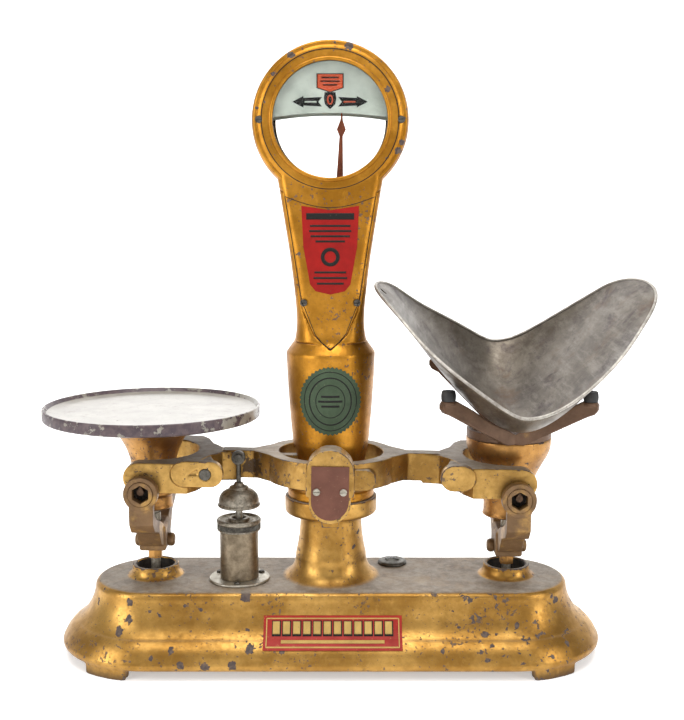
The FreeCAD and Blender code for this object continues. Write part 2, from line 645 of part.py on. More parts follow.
def commodity_plate():
    """Shallow enamelled plate with a turned-down rim and a locating spigot under it."""
    profile = [(0, 200.5), (84.0, 200.5), (PLATE_R - 1.4, 202.8), (PLATE_R - 0.6, 204.0), (PLATE_R, PLATE_Z - 5),
               (PLATE_R, PLATE_Z - 0.8), (PLATE_R - 1.2, PLATE_Z), (PLATE_R - 2.4, PLATE_Z - 0.9),
               (PLATE_R - 3.6, PLATE_Z - 3.0), (80.0, PLATE_Z - 4.2), (0, PLATE_Z - 4.6)]
    plate = lathe(profile)
    hub = tube(PLATE_HUB_R, PLATE_HUB_R - 3.6, (0, 0, 193.5), (0, 0, 200.5))
    seat = rod(PLATE_HUB_R, (0, 0, 196.8), (0, 0, 200.6))
    plate = union([plate, seat, hub])
    plate.translate(Vector(-HALF_SPAN, 0, 0))
    place("commodity_plate", plate, -1)


# ---- Scoop --------------------------------------------------------------------------------

VALLEY_Z = 214.0
RIM_RISE = 29.5            # extra height of the valley where it meets the front and back rims
WING_CURL = 0.0155         # how the wings flatten out past WING_X
WING_X = 89.0
VALLEY_SLOPE = 0.19        # the valley climbs towards the back
SCOOP_SHEET = 2.2
HUB_TOP_Z = 190.0
BUMPER_X = 57.2            # hub to a bumper
BUMPER_Y = 57.0
ARM_FOOT_Y = 33.0
ARM_HALF_THICKNESS = 4.0
ARM_FOOT_Z = 198.0
SADDLE_R = 36.0            # round rim of the spider where it sits on the hub
BUMPER_R = 6.0
BUMPER_H = 8.5
BUMPER_SCREW_R = 1.6


def scoop_flank(dx, y):
    """Rise to one side of the valley: a V with a rounded bottom."""
    if dx < 0:
        share = 1.0 - (y / SCOOP_HALF_WIDTH) ** 2
        slope = 1.2 + 0.36 * share
        blunt = 18.0 + 34.0 * share
    else:
        slope = 1.27
        blunt = 29.0 + 16.0 * ((y - 20.0) / 118.0) ** 2
    curl = WING_CURL * max(0.0, abs(dx) - WING_X) ** 2
    return slope * (math.hypot(dx, blunt) - blunt) - curl


def scoop_height(dx, y):
    """Height of the scoop's sheet at a place measured from the hub."""
    return VALLEY_Z + scoop_flank(dx, y) + RIM_RISE * (y / SCOOP_HALF_WIDTH) ** 4 + VALLEY_SLOPE * y


def scoop_sheet():
    """Oval sheet bent up on both sides, with a pointed left end."""
    steps_x = [i / 20 * (SCOOP_REACH + 8) for i in range(-20, 21)]
    steps_y = [i / 10 * (SCOOP_HALF_WIDTH + 6) for i in range(-10, 11)]
    grid = [[Vector(x, y, scoop_height(x, y)) for y in steps_y] for x in steps_x]
    surface = Part.BSplineSurface()
    surface.interpolate(grid)
    slab = surface.toShape().extrude(Vector(0, 0, -SCOOP_SHEET))
    outline = [scoop_rim(2 * math.pi * i / 96) for i in range(96)]
    cutter = prism_z(outline, 150.0, 400.0)
    sheet = slab.common(cutter)
    hole_x = -SCOOP_TIP + 7.5
    hang_hole = rod(2.6, (hole_x, 0, 200), (hole_x, 0, 400))
    sheet = sheet.cut(hang_hole)
    sheet.translate(Vector(HALF_SPAN, 0, 0))
    return sheet


def scoop_rim(angle):
    """Plan of the rim: an oval, drawn out to a blunt point on the left."""
    x = SCOOP_REACH * math.cos(angle)
    y = SCOOP_HALF_WIDTH * math.sin(angle)
    if x < 0:
        x *= SCOOP_TIP / SCOOP_REACH
        y *= 1.0 - 0.16 * (x / SCOOP_TIP) ** 2
    return (x, y)


def bumper_seat(x_side, y_side):
    """Height of an arm's flat tip, so that its bumper just meets the sheet above."""
    under = scoop_height(x_side * BUMPER_X, y_side * BUMPER_Y) - SCOOP_SHEET
    inward = scoop_height(x_side * (BUMPER_X - BUMPER_R), y_side * (BUMPER_Y - BUMPER_R)) - SCOOP_SHEET
    return min(under, inward) - BUMPER_H - 0.3


def spider_arm(x_side, y_side):
    """One arm from the hub to a bumper; its upper edge keeps clear of the sheet."""
    run_x, run_y = BUMPER_X, BUMPER_Y - ARM_FOOT_Y
    run = math.hypot(run_x, run_y)
    seat = bumper_seat(x_side, y_side)
    top = []
    for i in range(8):
        along = i / 7 * (run - BUMPER_R)
        share = along / run
        sheet = scoop_height(x_side * run_x * share, y_side * (ARM_FOOT_Y + run_y * share))
        straight = ARM_FOOT_Z + (seat - ARM_FOOT_Z) * i / 7
        top.append((along, min(straight, sheet - SCOOP_SHEET - 2.2)))
    tip = [(run - 1.0, seat), (run + 4.5, seat), (run + 6.5, seat - 2.5), (run + 6.5, seat - 6.5),
           (run + 4.0, seat - 10.0), (run - 2.0, seat - 12.5)]
    foot = [(9.0, HUB_TOP_Z), (-ARM_HALF_THICKNESS, HUB_TOP_Z)]
    arm = prism_y([(-ARM_HALF_THICKNESS, ARM_FOOT_Z)] + top + tip + foot, -ARM_HALF_THICKNESS, ARM_HALF_THICKNESS)
    arm = arm.fuse(rod(BUMPER_R, (run, 0, seat - 3.0), (run, 0, seat)))
    turn = math.degrees(math.atan2(y_side * run_y, x_side * run_x))
    arm.rotate(Vector(0, 0, 0), Vector(0, 0, 1), turn)
    arm.translate(Vector(HALF_SPAN, y_side * ARM_FOOT_Y, 0))
    return arm


def scoop_parts():
    tie = box(HALF_SPAN - 9.0, HALF_SPAN + 9.0, -ARM_FOOT_Y, ARM_FOOT_Y, HUB_TOP_Z, HUB_TOP_Z + 5.0)
    saddle = tube(SADDLE_R, SADDLE_R - 4.0, (HALF_SPAN, 0, HUB_TOP_Z), (HALF_SPAN, 0, ARM_FOOT_Z - 0.5))
    corners = [(x_side, y_side) for x_side in (-1, 1) for y_side in (-1, 1)]
    spider = union([tie, saddle] + [spider_arm(*corner) for corner in corners])
    bumpers = []
    screws = []
    for x_side, y_side in corners:
        x, y = HALF_SPAN + x_side * BUMPER_X, y_side * BUMPER_Y
        seat = bumper_seat(x_side, y_side)
        pad = lathe([(BUMPER_SCREW_R, 0), (BUMPER_R - 0.4, 0), (BUMPER_R, 2.0, "arc"),
                     (BUMPER_R - 0.8, BUMPER_H), (BUMPER_SCREW_R, BUMPER_H)], x, y)
        pad.translate(Vector(0, 0, seat))
        bumpers.append(pad)
        screws.append(rod(BUMPER_SCREW_R, (x, y, seat - 6.0), (x, y, seat + BUMPER_H - 1.0)))
    place("scoop_spider", cut_all(spider, screws), 1)
    place("scoop_bumpers", group(bumpers), 1)
    place("bumper_screws", group(screws), 1)
    place("scoop", scoop_sheet(), 1)


# ---- Check link ---------------------------------------------------------------------------

def check_parts():
    """Link under the base, parallel to the beam, that keeps the hangers upright."""
    bar = box(-HALF_SPAN - 9, HALF_SPAN + 9, -5.0, 5.0, CHECK_Z - 5, CHECK_Z + 5)
    for side in (-1, 1):
        x = side * HALF_SPAN
        bar = bar.cut(box(x - 10, x + 10, -3.4, 3.4, CHECK_Z - 9, CHECK_Z + 9))
    bar = bar.cut(rod(3.05, (0, -9, CHECK_Z), (0, 9, CHECK_Z)))
    pins = [rod(CHECK_PIN_R, (s * HALF_SPAN, -7.5, CHECK_Z), (s * HALF_SPAN, 7.5, CHECK_Z)) for s in (-1, 1)]
    bar = cut_all(bar, pins)
    PARTS["check_link"] = tilted(bar, CHECK_Z)
    PARTS["check_link_pins"] = group([tilted(p, CHECK_Z) for p in pins])
    lugs = [box(-8, 8, s * 5.5 - (3.5 if s < 0 else 0), s * 5.5 + (3.5 if s > 0 else 0), 27, 57) for s in (-1, 1)]
    pad = box(-24, 24, -12, 12, 57, 60)
    bracket = union([pad] + lugs)
    bracket = bracket.cut(rod(3.0, (0, -12, CHECK_Z), (0, 12, CHECK_Z)))
    PARTS["check_bracket"] = bracket
    PARTS["check_pivot_pin"] = rod(3.0, (0, -10.5, CHECK_Z), (0, 10.5, CHECK_Z))


# ---- Dashpot ------------------------------------------------------------------------------

def dashpot_parts():
    """Air dashpot: a cylinder on the base and a plunger hung from the beam's left arm."""
    x, y = DASHPOT_X, DASHPOT_Y
    floor = BASE_TOP_Z
    PARTS["dashpot_cylinder"] = lathe([(0, floor + 2.2), (16.4, floor + 2.2), (16.4, 116.0), (14.6, 116.0),
                                       (14.6, floor + 5), (0, floor + 5)], x, y)
    PARTS["dashpot_flange"] = lathe([(0, floor), (25.6, floor), (26.0, floor + 1, "arc"), (25.2, floor + 2.2),
                                     (0, floor + 2.2)], x, y)
    PARTS["dashpot_cap"] = lathe([(6.0, 116.0), (16.4, 116.0), (16.4, 109.0), (18.6, 109.0), (18.6, 118.0),
                                  (17.0, 119.6), (6.0, 118.4)], x, y)
    screws = []
    for angle in (-90, 30, 150):
        sx = x + 21.0 * math.cos(math.radians(angle))
        sy = y + 21.0 * math.sin(math.radians(angle))
        screws.append(lathe([(0, floor + 2.2), (2.7, floor + 2.2), (2.7, floor + 3.2), (1.8, floor + 4.0),
                             (0, floor + 4.0)], sx, sy))
    PARTS["dashpot_flange_screws"] = group(screws)
    angle = math.radians(BEAM_TILT)
    level = Vector(x, 0, STUD_Z - FULCRUM_Z)
    dx = level.x * math.cos(angle) + level.z * math.sin(angle) - level.x
    dz = -level.x * math.sin(angle) + level.z * math.cos(angle) - level.z
    lift = Vector(dx, 0, dz)
    y_eye = (-15.2, -9.8)
    eye = tube(5.8, 2.15, (x, y_eye[0], STUD_Z), (x, y_eye[1], STUD_Z))
    neck_bar = rod(2.0, (x, y, 148.5), (x, y, STUD_Z - 5.0))
    PARTS["plunger_eye"] = union([eye, neck_bar])
    PARTS["plunger_dome"] = lathe([(3.0, 128.0), (17.4, 128.0), (18.0, 130.0, "arc"), (17.2, 132.5),
                                   (11.5, 144.5, "arc"), (3.4, 148.5), (3.0, 148.5)], x, y)
    PARTS["plunger_piston"] = lathe([(3.0, 88.5), (12.6, 88.5), (12.6, 96.0), (3.0, 96.0)], x, y)
    PARTS["plunger_rod"] = rod(3.0, (x, y, 88.5), (x, y, 148.5))
    for node in ("plunger_eye", "plunger_dome", "plunger_rod", "plunger_piston"):
        PARTS[node].translate(lift)


# ---- Assembly -----------------------------------------------------------------------------

def build():
    base_casting()
    base_plate()
    level_vial()
    tower_parts()
    dial_parts()
    tower_labels()
    fulcrum_parts()
    beam_casting()
    pointer_parts()
    hanger(-1, "plate", PLATE_SUPPORT)
    hanger(1, "scoop", HUB_SUPPORT)
    commodity_plate()
    scoop_parts()
    check_parts()
    dashpot_parts()


def export():
    """Centre the whole object's footprint on the origin and write one file per piece."""
    bounds = FreeCAD.BoundBox()
    for shape in PARTS.values():
        bounds.add(shape.optimalBoundingBox())
    shift = Vector(-bounds.Center.x, -bounds.Center.y, -bounds.ZMin)
    print("column axis at x=%.4f y=%.4f z=%.4f" % tuple(shift))
    print("size %.1f x %.1f x %.1f" % (bounds.XLength, bounds.YLength, bounds.ZLength))
    for name, shape in PARTS.items():
        shape.translate(shift)
        if not shape.isValid() or shape.Volume <= 0:
            print("NOT VALID", name)
        shape.exportStep("parts/%s.step" % name)
    print(len(PARTS), "parts")


build()
export()
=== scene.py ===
import json
import math

import bmesh
import bpy
from mathutils import Matrix, Vector
from mathutils.bvhtree import BVHTree

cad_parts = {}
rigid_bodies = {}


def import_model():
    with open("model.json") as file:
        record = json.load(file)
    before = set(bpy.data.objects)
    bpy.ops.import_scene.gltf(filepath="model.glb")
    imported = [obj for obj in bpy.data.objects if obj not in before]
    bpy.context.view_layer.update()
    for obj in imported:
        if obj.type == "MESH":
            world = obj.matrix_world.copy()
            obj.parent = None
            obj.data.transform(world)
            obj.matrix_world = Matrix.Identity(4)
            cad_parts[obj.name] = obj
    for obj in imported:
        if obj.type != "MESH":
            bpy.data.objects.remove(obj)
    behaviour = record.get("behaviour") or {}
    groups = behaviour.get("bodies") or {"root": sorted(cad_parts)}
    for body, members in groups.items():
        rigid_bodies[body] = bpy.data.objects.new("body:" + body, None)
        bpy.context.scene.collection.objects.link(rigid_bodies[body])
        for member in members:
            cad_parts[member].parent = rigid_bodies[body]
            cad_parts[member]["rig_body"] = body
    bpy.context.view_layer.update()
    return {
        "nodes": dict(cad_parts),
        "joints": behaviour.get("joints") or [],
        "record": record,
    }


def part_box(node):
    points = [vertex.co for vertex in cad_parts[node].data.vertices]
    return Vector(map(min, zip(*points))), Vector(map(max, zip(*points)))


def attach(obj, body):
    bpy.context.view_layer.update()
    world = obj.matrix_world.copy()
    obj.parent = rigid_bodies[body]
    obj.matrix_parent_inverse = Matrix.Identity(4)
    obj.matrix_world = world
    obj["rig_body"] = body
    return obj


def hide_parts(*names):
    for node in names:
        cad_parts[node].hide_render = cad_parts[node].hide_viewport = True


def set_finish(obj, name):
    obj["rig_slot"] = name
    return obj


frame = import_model()

# ---- Places taken from the frame, in metres -----------------------------

MM = 0.001
JOINTS = {joint["name"]: joint for joint in frame["joints"]}


def joint_place(name):
    return Vector(JOINTS[name]["pos_m"])


def middle(node):
    low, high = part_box(node)
    return (low + high) / 2


FULCRUM = joint_place("beam_tilt")
COLUMN_X = FULCRUM.x
PLATE_PIVOT = joint_place("plate_hanger_pivot")
SCOOP_PIVOT = joint_place("scoop_hanger_pivot")
HEAD_Z = middle("front_glass").z
BASE_TOP_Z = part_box("dashpot_flange")[0].z
HALF_SPAN = 0.1524         # column to either end's hanger stem when the beam is level


# ---- Materials -----------------------------

class Shader:
    """One node material, built a line at a time."""

    def __init__(self, name, **sockets):
        self.material = bpy.data.materials.new(name)
        self.material.use_nodes = True
        self.tree = self.material.node_tree
        self.tree.nodes.clear()
        output = self.tree.nodes.new("ShaderNodeOutputMaterial")
        self.bsdf = self.tree.nodes.new("ShaderNodeBsdfPrincipled")
        self.tree.links.new(self.bsdf.outputs[0], output.inputs[0])
        self.place = self.tree.nodes.new("ShaderNodeTexCoord").outputs["Object"]
        self.heights = []
        for key, value in sockets.items():
            self.bsdf.inputs[key.replace("_", " ")].default_value = value

    def put(self, value, socket):
        if isinstance(value, bpy.types.NodeSocket):
            self.tree.links.new(value, socket)
        elif hasattr(value, "__len__") and len(value) == 3 and socket.type == "RGBA":
            socket.default_value = (*value, 1.0)
        else:
            socket.default_value = value

    def stretched(self, stretch):
        node = self.tree.nodes.new("ShaderNodeMapping")
        self.tree.links.new(self.place, node.inputs["Vector"])
        node.inputs["Scale"].default_value = stretch
        return node.outputs[0]

    def noise(self, size, detail=4.0, rough=0.6, stretch=None, distortion=0.0, seed=0.0):
        """Noise whose features are about size metres across."""
        node = self.tree.nodes.new("ShaderNodeTexNoise")
        node.noise_dimensions = "4D"
        node.inputs["W"].default_value = seed
        vector = self.stretched(stretch) if stretch else self.place
        self.tree.links.new(vector, node.inputs["Vector"])
        node.inputs["Scale"].default_value = 1.0 / size
        node.inputs["Detail"].default_value = detail
        node.inputs["Roughness"].default_value = rough
        node.inputs["Distortion"].default_value = distortion
        return node.outputs["Fac"]

    def fade(self, value, low, high):
        """0 at low, 1 at high, smooth between."""
        node = self.tree.nodes.new("ShaderNodeMapRange")
        node.interpolation_type = "SMOOTHSTEP"
        self.put(value, node.inputs["Value"])
        node.inputs["From Min"].default_value = low
        node.inputs["From Max"].default_value = high
        return node.outputs["Result"]

    def math(self, operation, a, b=0.0):
        """Arithmetic whose sums, differences and products are kept between 0 and 1."""
        node = self.tree.nodes.new("ShaderNodeMath")
        node.operation = operation
        node.use_clamp = operation in ("ADD", "SUBTRACT", "MULTIPLY")
        self.put(a, node.inputs[0])
        self.put(b, node.inputs[1])
        return node.outputs[0]

    def mix(self, factor, a, b):
        node = self.tree.nodes.new("ShaderNodeMix")
        node.data_type = "RGBA"
        self.put(factor, node.inputs["Factor"])
        self.put(a, node.inputs[6])
        self.put(b, node.inputs[7])
        return node.outputs[2]

    def blend(self, factor, a, b):
        node = self.tree.nodes.new("ShaderNodeMix")
        node.data_type = "FLOAT"
        self.put(factor, node.inputs["Factor"])
        self.put(a, node.inputs[2])
        self.put(b, node.inputs[3])
        return node.outputs[0]

    def edges(self, low, high):
        """1 on worn outside edges, from the mesh's own curvature."""
        node = self.tree.nodes.new("ShaderNodeNewGeometry")
        return self.fade(node.outputs["Pointiness"], low, high)

    def hollows(self, low, high):
        """1 in hollow corners, from the mesh's own curvature."""
        node = self.tree.nodes.new("ShaderNodeNewGeometry")
        return self.fade(node.outputs["Pointiness"], high, low)

    def facing_up(self, low, high):
        """1 where the surface faces upward enough, by the height of its normal."""
        node = self.tree.nodes.new("ShaderNodeNewGeometry")
        split = self.tree.nodes.new("ShaderNodeSeparateXYZ")
        self.tree.links.new(node.outputs["Normal"], split.inputs[0])
        return self.fade(split.outputs["Z"], low, high)

    def axis(self, name):
        split = self.tree.nodes.new("ShaderNodeSeparateXYZ")
        self.tree.links.new(self.place, split.inputs[0])
        return split.outputs[name]

    def spot(self, x, z, radius, ragged):
        """1 inside a ragged round patch about a place on the front of the object."""
        across = self.math("POWER", self.math("ABSOLUTE", self.plain("SUBTRACT", self.axis("X"), x)), 2.0)
        up = self.math("POWER", self.math("ABSOLUTE", self.plain("SUBTRACT", self.axis("Z"), z)), 2.0)
        reach = self.math("SQRT", self.plain("ADD", across, up))
        bite = self.plain("MULTIPLY", self.plain("SUBTRACT", ragged, 0.5), radius * 2.4)
        edge = self.plain("ADD", reach, bite)
        return self.fade(edge, radius * 1.06, radius * 0.94)

    def plain(self, operation, a, b):
        """Arithmetic that may go below 0 or above 1."""
        node = self.tree.nodes.new("ShaderNodeMath")
        node.operation = operation
        self.put(a, node.inputs[0])
        self.put(b, node.inputs[1])
        return node.outputs[0]

    def relief(self, height, depth):
        """Add a layer of relief, depth metres deep."""
        self.heights.append((height, depth))

    def done(self, color=None, rough=None, metal=None):
        for value, socket in ((color, "Base Color"), (rough, "Roughness"), (metal, "Metallic")):
            if value is not None:
                self.put(value, self.bsdf.inputs[socket])
        normal = None
        for height, depth in self.heights:
            node = self.tree.nodes.new("ShaderNodeBump")
            node.inputs["Distance"].default_value = depth
            self.put(height, node.inputs["Height"])
            if normal is not None:
                self.tree.links.new(normal, node.inputs["Normal"])
            normal = node.outputs[0]
        if normal is not None:
            self.tree.links.new(normal, self.bsdf.inputs["Normal"])
        return self.material


IRON = (0.060, 0.042, 0.038)
DUST = (0.330, 0.285, 0.228)
DEEP_DUST = (0.190, 0.150, 0.112)
# Dark brown of dirt, also used for the painted shade in hollows and shade spots of the gold paint
GRIME_AND_SHADE = (0.060, 0.032, 0.012)


def gold_paint(name, light, deep, chips=0.30, dust=0.0, wear=0.5, seed=0.0, marks=(), grime_share=0.5,
               shade_spots=(), foot=0.0):
    """Bronze-gold paint on cast iron: cloudy tone, fine flake, chips down to dark iron, dust on top.

    marks are (x, z, radius) of big chips on the front; the spots after them are (x, z, radius) of round
    patches of painted shade;
    foot is the height below which the paint is darkened towards the bottom. Hollow corners get painted
    shade, mixed into the grime colour.
    """
    s = Shader(name)
    cloud = s.fade(s.noise(0.045, 5, 0.62, seed=seed), 0.36, 0.66)
    mottle = s.fade(s.noise(0.007, 6, 0.7, seed=seed + 3), 0.35, 0.72)
    color = s.mix(cloud, deep, light)
    color = s.mix(s.math("MULTIPLY", mottle, 0.40), color, [c * 0.66 for c in deep])
    streak = s.fade(s.noise(0.012, 7, 0.75, seed=seed + 21, distortion=0.8), 0.50, 0.72)
    color = s.mix(s.math("MULTIPLY", streak, 0.30), color, [min(c * 1.25, 1.0) for c in light])
    grime_and_shade = s.fade(s.noise(0.022, 8, 0.75, distortion=0.6, seed=seed + 9), 0.60 - 0.08 * grime_share, 0.74)
    # painted shade: hollow corners are darkened towards the grime colour
    hollow_shade = s.math("MULTIPLY", s.hollows(0.440, 0.490), 0.85)
    grime_and_shade = s.math("MAXIMUM", s.math("MULTIPLY", grime_and_shade, grime_share), hollow_shade)
    # darker towards the bottom, below the height foot
    if foot > 0:
        low = s.plain("ADD", s.axis("Z"), s.plain("MULTIPLY", s.noise(0.012, 6, 0.7, seed=seed + 15), foot))
        grime_and_shade = s.math("MAXIMUM", grime_and_shade, s.math("MULTIPLY", s.fade(low, foot * 1.35, foot * 0.55), 0.80))
    fleck = s.noise(0.0035, 5, 0.6, seed=seed + 17)
    # painted shade: round dark patches at the given places
    for x, z, radius in shade_spots:
        grime_and_shade = s.math("MAXIMUM", grime_and_shade, s.math("MULTIPLY", s.spot(x, z, radius, fleck), 0.95))
    # this mix lays both dirt and painted shade
    color = s.mix(grime_and_shade, color, GRIME_AND_SHADE)
    spots = s.noise(0.0062, 3.5, 0.55, seed=seed + 5, distortion=0.4)
    area = s.noise(0.060, 3, 0.5, seed=seed + 7)
    worn = s.edges(0.508, 0.56)
    bare = s.math("ADD", s.math("MULTIPLY", area, 0.42), s.math("MULTIPLY", worn, wear * 0.20))
    level = s.math("ADD", s.math("MULTIPLY", spots, 0.72), bare)
    limit = 0.760 - chips * 0.16
    chip = s.fade(level, limit, limit + 0.012)
    pinholes = s.fade(s.noise(0.0016, 2, 0.5, seed=seed + 11), 0.685, 0.705)
    crumbs = s.fade(s.math("ADD", s.math("MULTIPLY", s.noise(0.0030, 4, 0.6, seed=seed + 12), 0.72),
                           s.math("MULTIPLY", s.noise(0.050, 3, 0.5, seed=seed + 14), 0.32)), 0.615, 0.630)
    chip = s.math("MAXIMUM", chip, s.math("MULTIPLY", s.math("MAXIMUM", pinholes, crumbs), 0.8))
    for x, z, radius in marks:
        chip = s.math("MAXIMUM", chip, s.spot(x, z, radius, fleck))
    iron = s.mix(s.fade(fleck, 0.4, 0.62), IRON, (0.115, 0.080, 0.060))
    color = s.mix(chip, color, iron)
    rough = s.blend(mottle, 0.33, 0.46)
    rough = s.blend(grime_and_shade, rough, 0.55)
    rough = s.blend(chip, rough, 0.62)
    metal = s.blend(grime_and_shade, 0.88, 0.50)
    metal = s.blend(chip, metal, 0.25)
    if dust > 0:
        top = s.facing_up(0.80, 0.97)
        patch = s.fade(s.noise(0.030, 7, 0.72, seed=seed + 13, distortion=0.5), 0.22, 0.60)
        film = s.math("MULTIPLY", s.math("MULTIPLY", top, dust), s.blend(patch, 0.72, 1.0))
        drift = s.fade(s.noise(0.012, 6, 0.75, seed=seed + 2), 0.35, 0.65)
        tint = s.mix(drift, DUST, DEEP_DUST)
        color = s.mix(film, color, tint)
        rough = s.blend(film, rough, 0.62)
        metal = s.blend(film, metal, 0.10)
    s.relief(s.noise(0.0011, 3, 0.6, seed=seed), 0.00005)
    s.relief(s.noise(0.006, 4, 0.5, seed=seed + 1), 0.00012)
    s.relief(s.math("SUBTRACT", 1.0, chip), 0.00022)
    return s.done(color, rough, metal)


def brown_iron(name, base, gold, share=0.4, seed=0.0):
    """Iron whose gold paint has mostly worn to brown, with paint left in patches."""
    s = Shader(name)
    tone = s.fade(s.noise(0.016, 6, 0.65, seed=seed), 0.25, 0.75)
    color = s.mix(tone, [c * 0.62 for c in base], base)
    left = s.fade(s.noise(0.016, 7, 0.62, seed=seed + 4), 0.62 - share * 0.30, 0.82 - share * 0.24)
    worn = s.edges(0.505, 0.55)
    left = s.math("MULTIPLY", left, s.blend(worn, 1.0, 0.65))
    color = s.mix(left, color, gold)
    rust = s.fade(s.noise(0.0035, 5, 0.7, seed=seed + 8), 0.58, 0.72)
    color = s.mix(s.math("MULTIPLY", rust, 0.5), color, (0.13, 0.045, 0.018))
    rough = s.blend(left, s.blend(tone, 0.62, 0.46), 0.40)
    metal = s.blend(left, 0.45, 0.85)
    s.relief(s.noise(0.0012, 4, 0.65, seed=seed), 0.00012)
    s.relief(s.noise(0.005, 4, 0.5, seed=seed + 1), 0.0003)
    return s.done(color, rough, metal)


def bare_metal(name, light, dark, rough=0.35, spread=0.2, size=0.006, stain=0.35, seed=0.0, brushed=None):
    """Nickel or steel with cloudy tarnish, spots and fine scratches."""
    s = Shader(name)
    cloud = s.fade(s.noise(size, 7, 0.72, seed=seed, distortion=0.3), 0.30, 0.70)
    color = s.mix(cloud, dark, light)
    spots = s.fade(s.noise(size * 0.25, 5, 0.65, seed=seed + 3), 0.56, 0.70)
    color = s.mix(s.math("MULTIPLY", spots, stain), color, (0.075, 0.052, 0.034))
    fine = s.noise(0.0007, 3, 0.6, stretch=brushed or (1, 1, 1), seed=seed + 5)
    level = s.blend(cloud, rough + spread, rough)
    level = s.blend(s.fade(fine, 0.35, 0.65), level, min(rough + spread + 0.12, 1.0))
    s.relief(fine, 0.00003)
    s.relief(spots, 0.00005)
    return s.done(color, level, s.blend(spots, 0.95, 0.6))


def enamel():
    """White vitreous enamel, yellowed and speckled, chipped to dark iron along the rim."""
    s = Shader("white_enamel", Coat_Weight=0.25, Coat_Roughness=0.18)
    cloud = s.fade(s.noise(0.035, 6, 0.7), 0.30, 0.72)
    color = s.mix(cloud, (0.165, 0.144, 0.114), (0.285, 0.260, 0.218))
    speck = s.fade(s.noise(0.0024, 4, 0.62, seed=4), 0.615, 0.66)
    color = s.mix(s.math("MULTIPLY", speck, 0.75), color, (0.10, 0.075, 0.055))
    scuff = s.fade(s.noise(0.018, 9, 0.8, seed=2, distortion=1.0, stretch=(0.35, 1.0, 1.0)), 0.57, 0.68)
    color = s.mix(s.math("MULTIPLY", scuff, 0.55), color, (0.140, 0.118, 0.094))
    rim = s.edges(0.503, 0.53)
    side = s.facing_up(0.92, 0.60)
    bite = s.noise(0.009, 6, 0.7, seed=8)
    level = s.math("ADD", bite, s.math("MULTIPLY", s.math("MAXIMUM", rim, side), 0.255))
    kept = s.fade(s.axis("X"), PLATE_PIVOT.x + 0.045, PLATE_PIVOT.x + 0.088)
    level = s.math("SUBTRACT", level, s.math("MULTIPLY", kept, 0.13))
    chip = s.fade(level, 0.665, 0.685)
    patch = s.fade(s.noise(0.006, 5, 0.6, seed=3), 0.35, 0.65)
    iron = s.mix(patch, (0.052, 0.034, 0.042), (0.100, 0.068, 0.070))
    color = s.mix(chip, color, iron)
    rough = s.blend(chip, s.blend(scuff, 0.28, 0.5), 0.55)
    s.relief(s.math("SUBTRACT", 1.0, chip), 0.0003)
    s.relief(speck, 0.00005)
    return s.done(color, rough, s.blend(chip, 0.0, 0.35))


def scoop_metal():
    """Tinned sheet, dulled and streaked, with dark stains and brighter scuffs."""
    s = Shader("tarnished_sheet")
    cloud = s.fade(s.noise(0.040, 7, 0.72, distortion=0.8), 0.30, 0.70)
    color = s.mix(cloud, (0.058, 0.044, 0.032), (0.150, 0.127, 0.099))
    streak = s.fade(s.noise(0.010, 7, 0.75, stretch=(1.0, 0.16, 1.0), seed=2), 0.42, 0.70)
    color = s.mix(s.math("MULTIPLY", streak, 0.5), color, (0.235, 0.207, 0.168))
    stain = s.fade(s.noise(0.026, 8, 0.78, seed=6, distortion=0.7), 0.49, 0.66)
    color = s.mix(s.math("MULTIPLY", stain, 0.80), color, (0.050, 0.034, 0.032))
    brown = s.fade(s.noise(0.034, 6, 0.7, seed=15), 0.52, 0.70)
    color = s.mix(s.math("MULTIPLY", brown, 0.75), color, (0.095, 0.050, 0.022))
    speck = s.fade(s.noise(0.0022, 4, 0.6, seed=9), 0.60, 0.67)
    color = s.mix(s.math("MULTIPLY", speck, 0.6), color, (0.07, 0.05, 0.05))
    rough = s.blend(streak, s.blend(stain, 0.42, 0.56), 0.33)
    s.relief(s.noise(0.012, 4, 0.5, seed=3), 0.0002)
    s.relief(s.noise(0.0010, 4, 0.6, seed=5), 0.00003)
    return s.done(color, rough, s.blend(stain, 0.80, 0.50))


def glass():
    s = Shader("clear_glass", Transmission_Weight=1.0, IOR=1.12)
    smear = s.fade(s.noise(0.030, 5, 0.7), 0.45, 0.75)
    return s.done(s.mix(smear, (0.985, 0.995, 0.99), (0.95, 0.965, 0.95)), s.blend(smear, 0.0, 0.004))


def print_ink(name, color, worn, rough=0.5, amount=0.4, seed=0.0):
    """Ink or thin enamel with small losses and slow changes of tone."""
    s = Shader(name, Specular_IOR_Level=0.20)
    cloud = s.fade(s.noise(0.016, 6, 0.7, seed=seed), 0.30, 0.72)
    tone = s.mix(cloud, [c * 0.72 for c in color], color)
    loss = s.fade(s.noise(0.0021, 5, 0.65, seed=seed + 3), 0.62, 0.68)
    tone = s.mix(s.math("MULTIPLY", loss, amount), tone, worn)
    s.relief(s.noise(0.0008, 3, 0.6, seed=seed), 0.00002)
    return s.done(tone, s.blend(cloud, rough + 0.1, rough))


def rubber():
    s = Shader("black_rubber")
    grain = s.noise(0.0006, 4, 0.6)
    bloom = s.fade(s.noise(0.006, 5, 0.7, seed=2), 0.45, 0.75)
    s.relief(grain, 0.00006)
    return s.done(s.mix(bloom, (0.010, 0.009, 0.009), (0.040, 0.036, 0.032)), s.blend(bloom, 0.55, 0.8))


def floor_paper():
    s = Shader("backdrop", Emission_Color=(1.0, 1.0, 1.0, 1.0), Emission_Strength=0.40)
    tone = s.fade(s.noise(0.4, 2, 0.5), 0.2, 0.8)
    return s.done(s.mix(tone, (0.86, 0.86, 0.86), (0.885, 0.885, 0.885)), 0.9)


# Flat black that stands in for shade: painted shade inside the base collars' bores and behind the bush holes
def painted_shade_black():
    s = Shader("painted_shade_black")
    tone = s.fade(s.noise(0.003, 4, 0.6), 0.35, 0.7)
    s.relief(s.noise(0.001, 3, 0.6), 0.0001)
    return s.done(s.mix(tone, (0.010, 0.008, 0.006), (0.030, 0.022, 0.015)), 0.8)


GOLD_LIGHT = (0.575, 0.330, 0.086)
GOLD_DEEP = (0.315, 0.158, 0.030)

